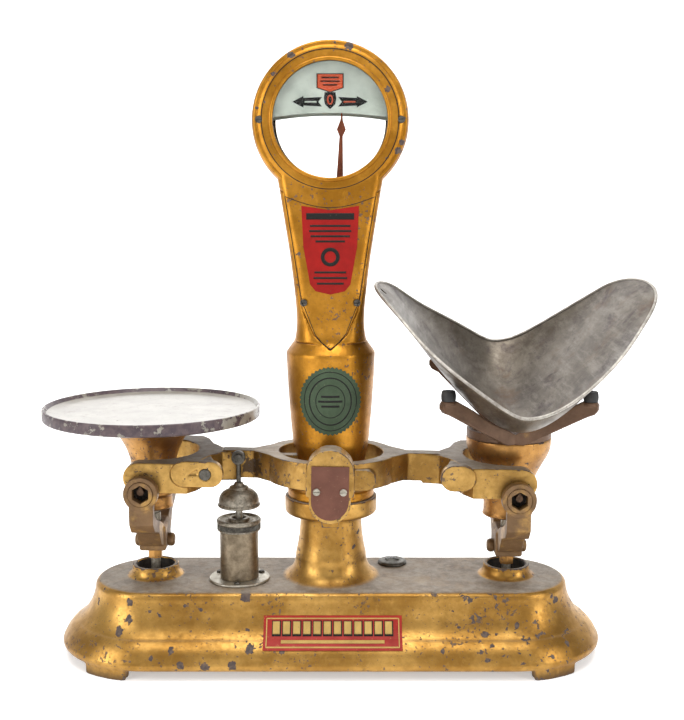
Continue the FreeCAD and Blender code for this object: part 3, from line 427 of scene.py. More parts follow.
# Larger chips and dark patches on the front: x, z and radius of each
BASE_MARKS = [(-0.0840, 0.0617, 0.0042), (-0.1808, 0.0572, 0.0028), (-0.1804, 0.0441, 0.0030),
              (-0.1884, 0.0347, 0.0034), (-0.1434, 0.0245, 0.0022), (-0.0801, 0.0251, 0.0030),
              (-0.0532, 0.0239, 0.0024), (-0.1344, 0.0548, 0.0014), (-0.1211, 0.0517, 0.0013),
              (-0.1593, 0.0198, 0.0017), (-0.1355, 0.0142, 0.0030), (-0.1153, 0.0134, 0.0036),
              (-0.0934, 0.0142, 0.0032), (0.1398, 0.0401, 0.0022), (0.1752, 0.0548, 0.0026),
              (0.0777, 0.0245, 0.0018), (0.0727, 0.0632, 0.0016)]
BEZEL_MARKS = [(0.0012, 0.5098, 0.0030), (-0.0100, 0.5125, 0.0010), (-0.0453, 0.5028, 0.0030),
               (0.0326, 0.4758, 0.0026), (0.0410, 0.4270, 0.0032), (-0.0598, 0.4880, 0.0016),
               (-0.0665, 0.4659, 0.0012), (-0.0730, 0.4612, 0.0013), (0.0440, 0.4340, 0.0024),
               (0.0120, 0.5105, 0.0018)]
BUSH_DROP = 0.006          # the bushes' holes are centred this far below the end pivots
# Painted shade round each end's bush holes, and the plate's painted shadow on the left arm's front: x, z and
# radius of each dark spot in the beam's paint
BUSH_SHADE_R = 0.0105
PLATE_SHADOW_SPOT = (COLUMN_X - 0.067, FULCRUM.z + 0.005, 0.008)  # x, z and radius on the left arm's front
BEAM_SHADE_SPOTS = [(pivot.x, pivot.z - BUSH_DROP, BUSH_SHADE_R) for pivot in (PLATE_PIVOT, SCOOP_PIVOT)]
BEAM_SHADE_SPOTS.append(PLATE_SHADOW_SPOT)

MATERIALS = {
    "gold_paint": gold_paint("base_gold", GOLD_LIGHT, GOLD_DEEP, chips=0.46, dust=1.0, wear=0.9, seed=1,
                             marks=BASE_MARKS, grime_share=0.60, foot=0.013),
    "tower_paint": gold_paint("tower_gold", (0.560, 0.255, 0.030), (0.330, 0.138, 0.010), chips=0.10,
                              dust=0.15, wear=0.30, seed=20, marks=BEZEL_MARKS, grime_share=0.35),
    "beam_paint": gold_paint("beam_gold", (0.54, 0.325, 0.095), (0.27, 0.145, 0.034), chips=0.36,
                             dust=0.95, wear=0.8, seed=40, grime_share=0.8, shade_spots=BEAM_SHADE_SPOTS),
    "support_paint": gold_paint("support_gold", (0.50, 0.26, 0.075), (0.27, 0.125, 0.035), chips=0.22,
                                dust=0.3, wear=0.4, seed=60, grime_share=0.8),
    "brown_iron": brown_iron("worn_iron", (0.200, 0.112, 0.048), (0.42, 0.245, 0.075), share=0.50, seed=5),
    "brass_spider": brown_iron("spider_brown", (0.150, 0.082, 0.046), (0.45, 0.26, 0.075),
                               share=0.10, seed=11),
    "nickel": bare_metal("dull_nickel", (0.52, 0.49, 0.42), (0.27, 0.24, 0.19),
                         rough=0.30, spread=0.16, size=0.009, stain=0.6, seed=2),
    "dark_metal": bare_metal("dark_metal", (0.15, 0.14, 0.12), (0.050, 0.045, 0.038),
                             rough=0.30, spread=0.2, size=0.006, stain=0.4, seed=7),
    "steel": bare_metal("steel", (0.42, 0.38, 0.31), (0.16, 0.14, 0.11),
                        rough=0.32, spread=0.2, size=0.003, stain=0.6, seed=12),
    "pivot_steel": bare_metal("pivot_steel", (0.120, 0.072, 0.045), (0.055, 0.033, 0.022),
                              rough=0.42, spread=0.2, size=0.003, stain=0.6, seed=17),
    "cover_plate": print_ink("brown_lacquer", (0.150, 0.060, 0.040), (0.30, 0.17, 0.10),
                             rough=0.45, amount=0.35, seed=3),
    "enamel": enamel(),
    "scoop_metal": scoop_metal(),
    "glass": glass(),
    "chart": print_ink("chart_ground", (0.56, 0.61, 0.54), (0.34, 0.36, 0.31),
                       rough=0.55, amount=0.25, seed=5),
    "pointer_red": print_ink("pointer_red", (0.28, 0.072, 0.030), (0.10, 0.04, 0.03),
                             rough=0.45, amount=0.4, seed=6),
    "label_red": print_ink("label_red", (0.300, 0.006, 0.004), (0.16, 0.028, 0.016),
                           rough=0.55, amount=0.5, seed=8),
    "seal_green": print_ink("seal_green", (0.052, 0.080, 0.044), (0.16, 0.165, 0.09),
                            rough=0.45, amount=0.5, seed=9),
    "badge_red": print_ink("badge_red", (0.34, 0.024, 0.016), (0.42, 0.26, 0.09),
                           rough=0.42, amount=0.55, seed=10),
    "rubber_black": rubber(),
}
INK_BLACK = print_ink("ink_black", (0.012, 0.011, 0.010), (0.12, 0.10, 0.07), amount=0.3, seed=12)
INK_GOLD = print_ink("ink_gold", (0.52, 0.34, 0.10), (0.16, 0.09, 0.04), rough=0.4, amount=0.5, seed=13)
INK_RED = print_ink("ink_orange_red", (0.62, 0.095, 0.035), (0.30, 0.08, 0.05), amount=0.25, seed=14)
SHADE_BLACK = painted_shade_black()
TUBE_METAL = bare_metal("turned_tube", (0.30, 0.240, 0.165), (0.130, 0.100, 0.066),
                        rough=0.26, spread=0.14, size=0.010, stain=0.5, seed=27, brushed=(0.03, 0.03, 1.0))
RIM_METAL = bare_metal("worn_rim", (0.52, 0.49, 0.44), (0.26, 0.235, 0.205),
                       rough=0.30, spread=0.2, size=0.008, stain=0.5, seed=31)


# ---- Mesh helpers -----------------------------

def new_object(name, mesh):
    piece = bpy.data.objects.new(name, mesh)
    bpy.context.scene.collection.objects.link(piece)
    return piece


def from_bmesh(name, bm):
    bmesh.ops.recalc_face_normals(bm, faces=bm.faces)
    mesh = bpy.data.meshes.new(name)
    bm.to_mesh(mesh)
    bm.free()
    for polygon in mesh.polygons:
        polygon.use_smooth = True
    return new_object(name, mesh)


def finish_piece(piece, body, slot, material=None, stands_for=()):
    piece.data.materials.clear()
    piece.data.materials.append(material or MATERIALS[slot])
    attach(piece, body)
    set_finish(piece, slot)
    if stands_for:
        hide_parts(*stands_for)
    return piece


def apply_modifiers(piece):
    graph = bpy.context.evaluated_depsgraph_get()
    graph.update()
    mesh = bpy.data.meshes.new_from_object(piece.evaluated_get(graph))
    piece.modifiers.clear()
    old = piece.data
    piece.data = mesh
    bpy.data.meshes.remove(old)
    for polygon in mesh.polygons:
        polygon.use_smooth = True


def bore(piece, cutter):
    """Cut the cutter out of the piece and throw the cutter away."""
    cut = piece.modifiers.new("bore", "BOOLEAN")
    cut.operation = "DIFFERENCE"
    cut.solver = "EXACT"
    cut.object = cutter
    apply_modifiers(piece)
    bpy.data.objects.remove(cutter)


BODY_OF = {node: body for body, nodes in frame["record"]["behaviour"]["bodies"].items() for node in nodes}
SLOT_OF = {part["node"]: part["material_slot"] for part in frame["record"]["subparts"]}


def cast(node, voxel, rounds=4, material=None, name=None, roughen=0.0):
    """The node's shape as a casting: one even mesh whose edges are rounded over by smoothing."""
    source = frame["nodes"][node]
    piece = new_object(name or node + "_cast", source.data.copy())
    remesh = piece.modifiers.new("even", "REMESH")
    remesh.mode = "VOXEL"
    remesh.voxel_size = voxel
    smooth = piece.modifiers.new("round", "SMOOTH")
    smooth.factor = 0.5
    smooth.iterations = rounds
    if roughen:
        texture = bpy.data.textures.new(piece.name + "_cast_skin", "CLOUDS")
        texture.noise_scale = 0.012
        texture.noise_depth = 3
        skin = piece.modifiers.new("skin", "DISPLACE")
        skin.texture = texture
        skin.texture_coords = "LOCAL"
        skin.mid_level = 0.5
        skin.strength = roughen
    apply_modifiers(piece)
    return finish_piece(piece, BODY_OF[node], SLOT_OF[node], material, [node])


def lathe(name, profile, centre, axis="Z", segments=96):
    """Turn (r, h) points about an axis through centre. The outline is closed by the axis."""
    bm = bmesh.new()
    rings = []
    for r, h in profile:
        if r < 1e-7:
            rings.append([bm.verts.new((0, 0, h))])
            continue
        angles = [2 * math.pi * i / segments for i in range(segments)]
        rings.append([bm.verts.new((r * math.cos(a), r * math.sin(a), h)) for a in angles])
    pairs = list(zip(rings, rings[1:]))
    if len(rings[0]) > 1 and len(rings[-1]) > 1:
        pairs.append((rings[-1], rings[0]))
    for lower, upper in pairs:
        for i in range(segments):
            j = (i + 1) % segments
            below = [lower[i % len(lower)], lower[j % len(lower)]]
            above = [upper[j % len(upper)], upper[i % len(upper)]]
            unique = list(dict.fromkeys(below + above))
            if len(unique) > 2:
                bm.faces.new(unique)
    if axis == "Y":
        to_front = Matrix.Rotation(math.radians(90), 3, "X")
        bmesh.ops.rotate(bm, verts=bm.verts, cent=(0, 0, 0), matrix=to_front)
    bmesh.ops.translate(bm, verts=bm.verts, vec=centre)
    return from_bmesh(name, bm)


def arc(cx, cz, radius, start, end, steps=8):
    """Points of an arc in an (r, h) outline, angles in degrees."""
    angles = [math.radians(start + (end - start) * i / steps) for i in range(steps + 1)]
    return [(cx + radius * math.cos(a), cz + radius * math.sin(a)) for a in angles]


def surface_of(*nodes):
    """Ray targets made from CAD nodes."""
    trees = []
    for node in nodes:
        mesh = frame["nodes"][node].data
        corners = [v.co.copy() for v in mesh.vertices]
        trees.append(BVHTree.FromPolygons(corners, [list(p.vertices) for p in mesh.polygons]))
    return trees


def front_y(trees, x, z, side=-1):
    """Where the front (side -1) or rear (side 1) surface lies at this x and z."""
    found = []
    for tree in trees:
        for nudge in (0.0, 0.0002, -0.0002, 0.0006, -0.0006):
            hit = tree.ray_cast(Vector((x + nudge, side * 0.3, z + nudge / 3)), Vector((0, -side, 0)))
            if hit[0] is not None:
                found.append(hit[0].y * side)
                break
    if not found:
        raise ValueError("nothing to lay a line on at x=%.4f z=%.4f" % (x, z))
    return max(found) * side


def ribbon(name, rail_a, rail_b, trees, closed=False, side=-1, proud=0.00015, sunk=0.0004, lanes=1):
    """A thin closed strip between two (x, z) rails, laid on a surface in one or more lanes."""
    bm = bmesh.new()
    section = []
    for offset, order in ((proud, range(lanes + 1)), (-sunk, range(lanes, -1, -1))):
        for lane in order:
            row = []
            for a, b in zip(rail_a, rail_b):
                x, z = Vector(a).lerp(Vector(b), lane / lanes)
                y = front_y(trees, x, z, side)
                row.append(bm.verts.new((x, y + side * offset, z)))
            section.append(row)
    count = len(rail_a)
    for row, beside in zip(section, section[1:] + section[:1]):
        for i in range(count if closed else count - 1):
            j = (i + 1) % count
            bm.faces.new((row[i], row[j], beside[j], beside[i]))
    if not closed:
        bm.faces.new([row[0] for row in section])
        bm.faces.new([row[-1] for row in reversed(section)])
    return from_bmesh(name, bm)


def dense(points, closed=False, step=0.0015):
    """Add points along straight runs so that a ribbon can follow a curved face."""
    ends = points + [points[0]] if closed else points
    out = []
    for a, b in zip(ends, ends[1:]):
        a, b = Vector(a), Vector(b)
        count = max(1, int((b - a).length / step))
        out += [tuple(a.lerp(b, i / count)) for i in range(count)]
    if not closed:
        out.append(tuple(points[-1]))
    return out


def ellipse(x, z, half_x, half_z, count):
    """Points round an ellipse that lies on a front face."""
    angles = [2 * math.pi * i / count for i in range(count)]
    return [(x + half_x * math.cos(a), z + half_z * math.sin(a)) for a in angles]


def offset_rails(points, width, closed=False):
    """Two rails either side of a line."""
    count = len(points)
    left, right = [], []
    for i, point in enumerate(points):
        before = points[(i - 1) % count] if closed or i else points[0]
        after = points[(i + 1) % count] if closed or i < count - 1 else points[-1]
        run = Vector(after) - Vector(before)
        normal = Vector((-run.y, run.x)).normalized() * width / 2
        left.append((point[0] + normal.x, point[1] + normal.y))
        right.append((point[0] - normal.x, point[1] - normal.y))
    return left, right


def line_on(name, points, width, trees, body, slot, ink, closed=False, side=-1, proud=0.00015):
    rails = offset_rails(dense(points, closed), width, closed)
    piece = ribbon(name, *rails, trees, closed, side, proud)
    return finish_piece(piece, body, slot, ink)


def bar_on(name, x0, x1, z, height, trees, body, slot, ink, side=-1, proud=0.00015):
    steps = max(2, int((x1 - x0) / 0.0012))
    xs = [x0 + (x1 - x0) * i / steps for i in range(steps + 1)]
    lanes = max(1, round(height / 0.0012))
    upper, lower = [(x, z + height / 2) for x in xs], [(x, z - height / 2) for x in xs]
    piece = ribbon(name, upper, lower, trees, False, side, proud, lanes=lanes)
    return finish_piece(piece, body, slot, ink)


def joined(name, pieces):
    """Join several pieces of one finish into one."""
    first = pieces[0]
    bm = bmesh.new()
    for piece in pieces:
        bm.from_mesh(piece.data)
    mesh = bpy.data.meshes.new(name)
    bm.to_mesh(mesh)
    bm.free()
    for polygon in mesh.polygons:
        polygon.use_smooth = True
    mesh.materials.append(first.data.materials[0])
    whole = new_object(name, mesh)
    body, slot = first["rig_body"], first["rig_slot"]
    for piece in pieces:
        bpy.data.objects.remove(piece)
    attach(whole, body)
    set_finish(whole, slot)
    return whole


# ---- Stand -----------------------------

# Painted shade: a thin black lining inside each base collar's bore, so that the bore looks dark
BORE_R = 0.0164
BORE_SHADE_THICKNESS = 0.0004
BORE_HEIGHT = 0.0095


def make_stand():
    cast("base_casting", 0.0010, 6, roughen=0.0002)
    inner = BORE_R - BORE_SHADE_THICKNESS
    lining = [(BORE_R, 0.0), (BORE_R, BORE_HEIGHT), (inner, BORE_HEIGHT), (inner, 0.0)]
    # painted shade lining in each collar
    for side, pivot in (("left", PLATE_PIVOT), ("right", SCOOP_PIVOT)):
        place = (COLUMN_X + math.copysign(HALF_SPAN, pivot.x - COLUMN_X), 0, BASE_TOP_Z)
        finish_piece(lathe(side + "_bore_shade_lining", lining, place), "stand", "dark_metal", SHADE_BLACK)
    cast("tower_housing", 0.0010, 5, roughen=0.00015)
    cast("front_cover", 0.0008, 3, roughen=0.0001)
    cast("rear_cover", 0.0010, 4, roughen=0.0002)
    for node in ("front_cover_screws", "rear_cover_screws", "dashpot_flange_screws"):
        cast(node, 0.00016, 1, MATERIALS["dark_metal"])


COVERS = ("front_cover", "rear_cover", "front_cover_screws", "rear_cover_screws")
BEAD_R = 0.0480
BEAD_Y = 0.0238
BEAD_SECTION = 0.0017
STRIPE_R = 0.0555
STRIPE_WIDTH = 0.0007
RIM_R = 0.0606
RIM_SECTION = 0.0022
RIM_SUNK = 0.0004


def bezel_rings():
    """Rolled bead round the glass, raised outer rim and dark pinstripe of the bezel, front and rear."""
    trees = surface_of(*COVERS)
    bead_outline = arc(BEAD_R, 0, BEAD_SECTION, 0, 360, 15)
    rim_outline = arc(RIM_R, 0, RIM_SECTION, 0, 360, 15)
    circle = ellipse(COLUMN_X, HEAD_Z, STRIPE_R, STRIPE_R, 180)
    rails = offset_rails(circle, STRIPE_WIDTH, True)
    for side, word in ((-1, "front"), (1, "rear")):
        bead = lathe(word + "_bezel_bead", bead_outline, (COLUMN_X, side * BEAD_Y, HEAD_Z), "Y")
        finish_piece(bead, "stand", "tower_paint")
        rim_y = front_y(trees, COLUMN_X, HEAD_Z + RIM_R, side) - side * RIM_SUNK
        rim = lathe(word + "_bezel_rim", rim_outline, (COLUMN_X, rim_y, HEAD_Z), "Y")
        finish_piece(rim, "stand", "tower_paint")
        stripe = ribbon(word + "_bezel_stripe", *rails, trees, True, side)
        finish_piece(stripe, "stand", "dark_metal", INK_BLACK)


def neck_stripes():
    """Dark pinstripe along the edge of the neck panel."""
    trees = surface_of(*COVERS, "tower_housing")
    half, top_z, dip, steps = 0.0370, 0.3905, 0.0090, 16
    left_side = [(-half, top_z), (-0.0238, 0.3060), (-0.0127, 0.2782), (-0.0070, 0.2712), (0.0, 0.2664)]
    top = [(-half + 2 * half * i / steps, top_z - dip * math.sin(math.pi * i / steps))
           for i in range(steps + 1)]
    outline = left_side + [(-x, z) for x, z in reversed(left_side[:-1])] + top[::-1][1:-1]
    for side, word in ((-1, "front"), (1, "rear")):
        points = [(COLUMN_X + x, z) for x, z in outline]
        line_on(word + "_neck_stripe", points, 0.0006, trees, "stand", "dark_metal", INK_BLACK, True, side)


def mirrored(points):
    return [(-px, pz) for px, pz in reversed(points)]


DIAL_ZERO_Z = 0.4650
MARK_MIDDLE = 0.0165       # middle of the pointer mark above the dial's zero


def dial_print():
    """Zero shield, pointer mark and two arrows on each chart plate; outlines are about the zero."""
    mark = [(-0.0100, 0.0228), (0.0100, 0.0228), (0.0100, 0.0125), (0.0, 0.0092), (-0.0100, 0.0125)]
    shield = [(-0.0044, 0.0088), (0.0044, 0.0088), (0.0050, 0.0040), (0.0042, -0.0008), (0.0, -0.0046),
              (-0.0042, -0.0008), (-0.0050, 0.0040)]
    arrow = [(0.0065, 0.0038), (0.0215, 0.0030), (0.0215, 0.0046), (0.0305, 0.0), (0.0215, -0.0046),
             (0.0215, -0.0030), (0.0065, -0.0038), (0.0095, 0.0)]
    x, z = COLUMN_X, DIAL_ZERO_Z
    edge = [(px * 1.10, MARK_MIDDLE + (pz - MARK_MIDDLE) * 1.12) for px, pz in mark]
    arrow_z = z + 0.0012
    rows = ((0.0203, 0.0070), (0.0174, 0.0078), (0.0145, 0.0058))
    for side, word in ((-1, "front"), (1, "rear")):
        trees = surface_of(word + "_chart")
        flat_on(word + "_mark_edge", edge, x, z, trees, side, INK_BLACK, "dark_metal", 0.00015)
        flat_on(word + "_mark_field", mark, x, z, trees, side, INK_RED, "label_red", 0.0003)
        bars = [bar_on("bar_%d" % i, x - half, x + half, z + row, 0.0012, trees, "stand", "dark_metal",
                       INK_BLACK, side, 0.00045) for i, (row, half) in enumerate(rows)]
        joined(word + "_mark_bars", bars)
        flat_on(word + "_zero_field", shield, x, z, trees, side, INK_BLACK, "dark_metal", 0.0002)
        oval = offset_rails(ellipse(x, z + 0.0028, 0.0019, 0.0034, 40), 0.0011, True)
        ring = ribbon(word + "_zero", *oval, trees, True, side, 0.00035)
        finish_piece(ring, "stand", "label_red", INK_RED)
        for hand, outline in (("right", arrow), ("left", mirrored(arrow))):
            flat_on("%s_%s_arrow" % (word, hand), outline, x, arrow_z, trees, side, INK_BLACK,
                    "dark_metal", 0.0002)
        bar_on(word + "_left_arrow_line", x - 0.0205, x - 0.0110, arrow_z, 0.0012, trees, "stand",
               "chart", MATERIALS["chart"], side, 0.00035)
        bar_on(word + "_right_arrow_line", x + 0.0110, x + 0.0205, arrow_z, 0.0012, trees, "stand",
               "label_red", INK_RED, side, 0.00035)


def flat_on(name, outline, x, z, trees, side, ink, slot, proud):
    """A flat closed plate with the outline, laid on a flat face."""
    bm = bmesh.new()
    y = front_y(trees, x, z + 0.012, side)
    top = [bm.verts.new((x + px, y + side * proud, z + pz)) for px, pz in outline]
    low = [bm.verts.new((x + px, y - side * 0.0003, z + pz)) for px, pz in outline]
    bm.faces.new(top)
    bm.faces.new(low[::-1])
    for i in range(len(outline)):
        j = (i + 1) % len(outline)
        bm.faces.new((top[i], low[i], low[j], top[j]))
    piece = from_bmesh(name, bm)
    for polygon in piece.data.polygons:
        polygon.use_smooth = False
    return finish_piece(piece, "stand", slot, ink)


def black_bar(name, half, z, height, trees):
    """A black printed bar across the tower's centre line."""
    return bar_on(name, COLUMN_X - half, COLUMN_X + half, z, height, trees, "stand", "dark_metal", INK_BLACK)


def label_print():
    """Plain bands and blocks on the red neck label."""
    trees = surface_of("neck_label")
    bars = [black_bar("label_head", 0.0195, 0.3745, 0.0052, trees)]
    for row, half in enumerate((0.0165, 0.0172, 0.0160, 0.0120)):
        bars.append(black_bar("label_row_%d" % row, half, 0.3668 - 0.0042 * row, 0.0016, trees))
    disc = offset_rails(ellipse(COLUMN_X, 0.3415, 0.0062, 0.0062, 36), 0.0030, True)
    bars.append(finish_piece(ribbon("label_ring", *disc, trees, True), "stand", "dark_metal", INK_BLACK))
    for row, half in enumerate((0.0130, 0.0138, 0.0110)):
        bars.append(black_bar("label_foot_%d" % row, half, 0.3290 - 0.0046 * row, 0.0016, trees))
    joined("neck_label_print", bars)


SEAL_Z = 0.2235
SEAL_HALF_WIDTH = 0.0240
SEAL_HALF_HEIGHT = 0.0275


def seal_print():
    """Rings and bars of the green seal."""
    trees = surface_of("tower_seal")
    prints = []
    for index, (share, width) in enumerate(((0.90, 0.0006), (0.72, 0.0010), (0.50, 0.0006))):
        points = ellipse(COLUMN_X, SEAL_Z, SEAL_HALF_WIDTH * share, SEAL_HALF_HEIGHT * share, 120)
        piece = ribbon("seal_ring_%d" % index, *offset_rails(points, width, True), trees, True)
        prints.append(finish_piece(piece, "stand", "dark_metal", INK_BLACK))
    for index, (share, half) in enumerate(((0.15, 0.0075), (0.0, 0.0100), (-0.15, 0.0075))):
        bar_z = SEAL_Z + SEAL_HALF_HEIGHT * share
        prints.append(black_bar("seal_bar_%d" % index, half, bar_z, 0.0016, trees))
    joined("tower_seal_print", prints)


def badge_print():
    """Gold border and plain blocks on the base badge."""
    trees = surface_of("badge_plate")
    low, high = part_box("badge_plate")
    side_margin, end_margin = 0.0020, 0.0026
    x0, x1 = low.x + end_margin, high.x - end_margin
    z0, z1 = low.z + side_margin, high.z - side_margin
    line_on("badge_border", [(x0, z0), (x1, z0), (x1, z1), (x0, z1)], 0.0009, trees, "stand", "gold_paint",
            INK_GOLD, True)
    shadows, blocks = [], []
    count = 12
    pitch = (x1 - x0 - 0.008) / count
    middle_z = (z0 + z1) / 2 + 0.0028
    for i in range(count):
        left = x0 + 0.004 + pitch * i
        right = left + pitch
        shadows.append(bar_on("shadow_%d" % i, left + 0.0004, right - 0.0006, middle_z - 0.0004, 0.0106,
                              trees, "stand", "dark_metal", INK_BLACK))
        blocks.append(bar_on("block_%d" % i, left + 0.0010, right - 0.0016, middle_z, 0.0086,
                             trees, "stand", "gold_paint", INK_GOLD, -1, 0.0003))
    blocks.append(bar_on("badge_foot", x0 + 0.012, x1 - 0.012, z0 + 0.0032, 0.0018, trees, "stand",
                         "gold_paint", INK_GOLD, -1, 0.0003))
    joined("badge_shadows", shadows)
    joined("badge_blocks", blocks)


# ---- Beam and hangers -----------------------------

# Painted shade: black discs behind the bushes' holes, where the holes would otherwise show the backdrop
SHADE_DISC_R = 0.0110
SHADE_DISC_NEAR = 0.0572       # the dark discs behind the bushes lie between these two depths
SHADE_DISC_FAR = 0.0596


def make_beam():
    cast("beam_casting", 0.0007, 4, roughen=0.00015)
    for node in ("front_pivot_cover", "rear_pivot_cover"):
        cast(node, 0.00035, 2)
    for node in ("pivot_cover_screws", "end_pivots", "dashpot_stud"):
        cast(node, 0.0002, 2)
    cast("sealing_plug", 0.0002, 2, MATERIALS["dark_metal"])
    for end, pivot in (("plate", PLATE_PIVOT), ("scoop", SCOOP_PIVOT)):
        # painted shade: a black disc behind each bush hole, front and rear
        for face, low, high in (("front", SHADE_DISC_NEAR, SHADE_DISC_FAR), ("rear", -SHADE_DISC_FAR, -SHADE_DISC_NEAR)):
            outline = [(0, low), (SHADE_DISC_R, low), (SHADE_DISC_R, high), (0, high)]
            place = (pivot.x, 0, pivot.z - BUSH_DROP)
            shade = lathe("%s_%s_pivot_shade_disc" % (end, face), outline, place, "Y", 48)
            finish_piece(shade, "beam", "dark_metal", SHADE_BLACK)


def make_hangers():
    for side in ("plate", "scoop"):
        cast(side + "_yoke", 0.0006, 5, roughen=0.0003)
        cast(side + "_support", 0.0009, 4, roughen=0.0002)
        cast(side + "_bushes", 0.0003, 2)
        cast(side + "_cross_bolt", 0.0003, 3)
    cast("scoop_spider", 0.0006, 4, roughen=0.0002)
    cast("scoop_bumpers", 0.0003, 3)


def make_plate():
    """Enamelled plate: turned in one piece with a rolled rim."""
    low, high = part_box("commodity_plate")
    centre = Vector(((low.x + high.x) / 2, 0, 0))
    rim = (high.x - low.x) / 2
    top = high.z
    under = low.z
    profile = [(0, under + 0.0033), (0.0364, under + 0.0033), (0.0364, under), (0.0400, under),
               (0.0404, under + 0.004)]
    profile += [(0.0840, top - 0.0115), (rim - 0.0035, top - 0.0100)]
    profile += arc(rim - 0.0022, top - 0.0078, 0.0022, -60, 0, 4)
    profile += [(rim, top - 0.0050)] + arc(rim - 0.0013, top - 0.0013, 0.0013, 0, 150, 8)
    profile += [(rim - 0.0040, top - 0.0034), (rim - 0.0100, top - 0.0043), (0.050, top - 0.0046),
                (0, top - 0.0046)]
    plate = lathe("enamel_plate", profile, centre, segments=180)
    bevel = plate.modifiers.new("soft", "BEVEL")
    bevel.width = 0.0004
    bevel.segments = 2
    apply_modifiers(plate)
    finish_piece(plate, "plate", "enamel", None, ["commodity_plate"])


# ---- Scoop -----------------------------

SCOOP_RIGHT = 0.1200       # reach of the outline from the hanger stem, to the right
SCOOP_LEFT = 0.1155        # and towards the tower
SCOOP_HALF = 0.0980        # reach to the front and to the rear
SHEET = 0.0012
VALLEY_RISE = 0.056        # the valley's lowest line above the end pivot
VALLEY_TILT = 0.19         # its climb towards the rear
END_RISE = 0.0295          # extra climb of the front and rear ends
WING_X = 0.0890            # the wings turn down beyond this distance
WING_CURL = 15.5
RIM_SHARE = 0.992          # where the rim's bead runs, as a share of the way to the outline


def scoop_flank(dx, dy):
    """Rise to one side of the valley: a V whose bottom is rounded over the width blunt."""
    if dx < 0:
        share = 1.0 - (dy / SCOOP_HALF) ** 2
        slope = 1.2 + 0.36 * share
        blunt = 0.018 + 0.034 * share
    else:
        slope = 1.27
        blunt = 0.029 + 0.016 * ((dy - 0.020) / 0.118) ** 2
    curl = WING_CURL * max(0.0, abs(dx) - WING_X) ** 2
    return slope * (math.hypot(dx, blunt) - blunt) - curl


def scoop_point(angle, share):
    """A point of the sheet's upper face: angle round the outline, share of the way to the rim."""
    dx = SCOOP_RIGHT * math.cos(angle)
    dy = SCOOP_HALF * math.sin(angle)
    if dx < 0:
        dx *= SCOOP_LEFT / SCOOP_RIGHT
        dy *= 1.0 - 0.16 * (dx / SCOOP_LEFT) ** 2
    dx *= share
    dy *= share
    rise = VALLEY_RISE + scoop_flank(dx, dy) + END_RISE * (dy / SCOOP_HALF) ** 4 + VALLEY_TILT * dy
    return Vector((COLUMN_X + HALF_SPAN + dx, dy, SCOOP_PIVOT.z + rise))


def make_scoop():
    bm = bmesh.new()
    around, out = 160, 28
    centre = bm.verts.new(scoop_point(0, 0))
    rings = []
    for k in range(1, out + 1):
        share = 0.994 * (k / out) ** 0.8
        rings.append([bm.verts.new(scoop_point(2 * math.pi * i / around, share)) for i in range(around)])
    for i in range(around):
        j = (i + 1) % around
        bm.faces.new((centre, rings[0][i], rings[0][j]))
        for inner, outer in zip(rings, rings[1:]):
            bm.faces.new((inner[i], outer[i], outer[j], inner[j]))
    scoop = from_bmesh("scoop_sheet", bm)
    thick = scoop.modifiers.new("sheet", "SOLIDIFY")
    thick.thickness = SHEET
    thick.offset = -1.0
    apply_modifiers(scoop)
    hang = scoop_point(math.pi, 0.935)
    hole, reach = 0.0026, 0.02
    cutter = lathe("hang_hole", [(0, -reach), (hole, -reach), (hole, reach), (0, reach)], hang, segments=32)
    bore(scoop, cutter)
    finish_piece(scoop, "scoop", "scoop_metal", None, ["scoop"])
    steps = 320
    middle_of_sheet = Vector((0, 0, SHEET / 2))
    angles = [2 * math.pi * i / steps for i in range(steps)]
    rolled_rim([scoop_point(angle, RIM_SHARE) - middle_of_sheet for angle in angles])


def rolled_rim(path):
    """Wire-stiffened bead along the rim."""
    bm = bmesh.new()
    count, sides, radius = len(path), 10, 0.0013
    loops = []
    for i, point in enumerate(path):
        run = (path[(i + 1) % count] - path[i - 1]).normalized()
        side = run.cross(Vector((0, 0, 1))).normalized()
        up = side.cross(run).normalized()
        ring = []
        for k in range(sides):
            a = 2 * math.pi * k / sides
            ring.append(bm.verts.new(point + side * radius * math.cos(a) + up * radius * math.sin(a)))
        loops.append(ring)
    for i in range(count):
        j = (i + 1) % count
        for k in range(sides):
            m = (k + 1) % sides
            bm.faces.new((loops[i][k], loops[j][k], loops[j][m], loops[i][m]))
    finish_piece(from_bmesh("scoop_rim", bm), "scoop", "scoop_metal", RIM_METAL)


# ---- Dashpot and level -----------------------------

DOME_OUTLINE = [(0, 0), (17.3, 0), (18.0, 0.7), (18.0, 1.7), (17.4, 2.3), (16.6, 2.6), (17.0, 3.2),
                (17.1, 5.0), (16.8, 7.2), (15.9, 9.6), (14.2, 11.8), (11.8, 13.6), (8.8, 14.8),
                (8.2, 15.2), (8.2, 16.4), (7.5, 17.1), (5.4, 17.7), (4.2, 18.8), (3.6, 20.4), (0, 20.4)]
CAP_OUTLINE = [(16.45, 0), (18.2, 0), (18.6, 0.4), (18.6, 1.0), (18.0, 1.3), (18.0, 5.8), (18.6, 6.1),
               (18.9, 7.0), (18.9, 8.4), (18.2, 9.4), (17.0, 9.8), (16.4, 9.3), (15.8, 8.0), (9.4, 7.6),
               (9.2, 9.4), (8.6, 10.2), (6.1, 10.2), (6.1, 7.0), (16.45, 7.0)]
KNURLS = 90


def turned(node, outline, material=None):
    """A node rebuilt as turned metal from an outline in millimetres above its foot."""
    low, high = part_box(node)
    centre = Vector(((low.x + high.x) / 2, (low.y + high.y) / 2, low.z))
    piece = lathe(node + "_turned", [(r * MM, h * MM) for r, h in outline], centre)
    return finish_piece(piece, BODY_OF[node], SLOT_OF[node], material, [node])


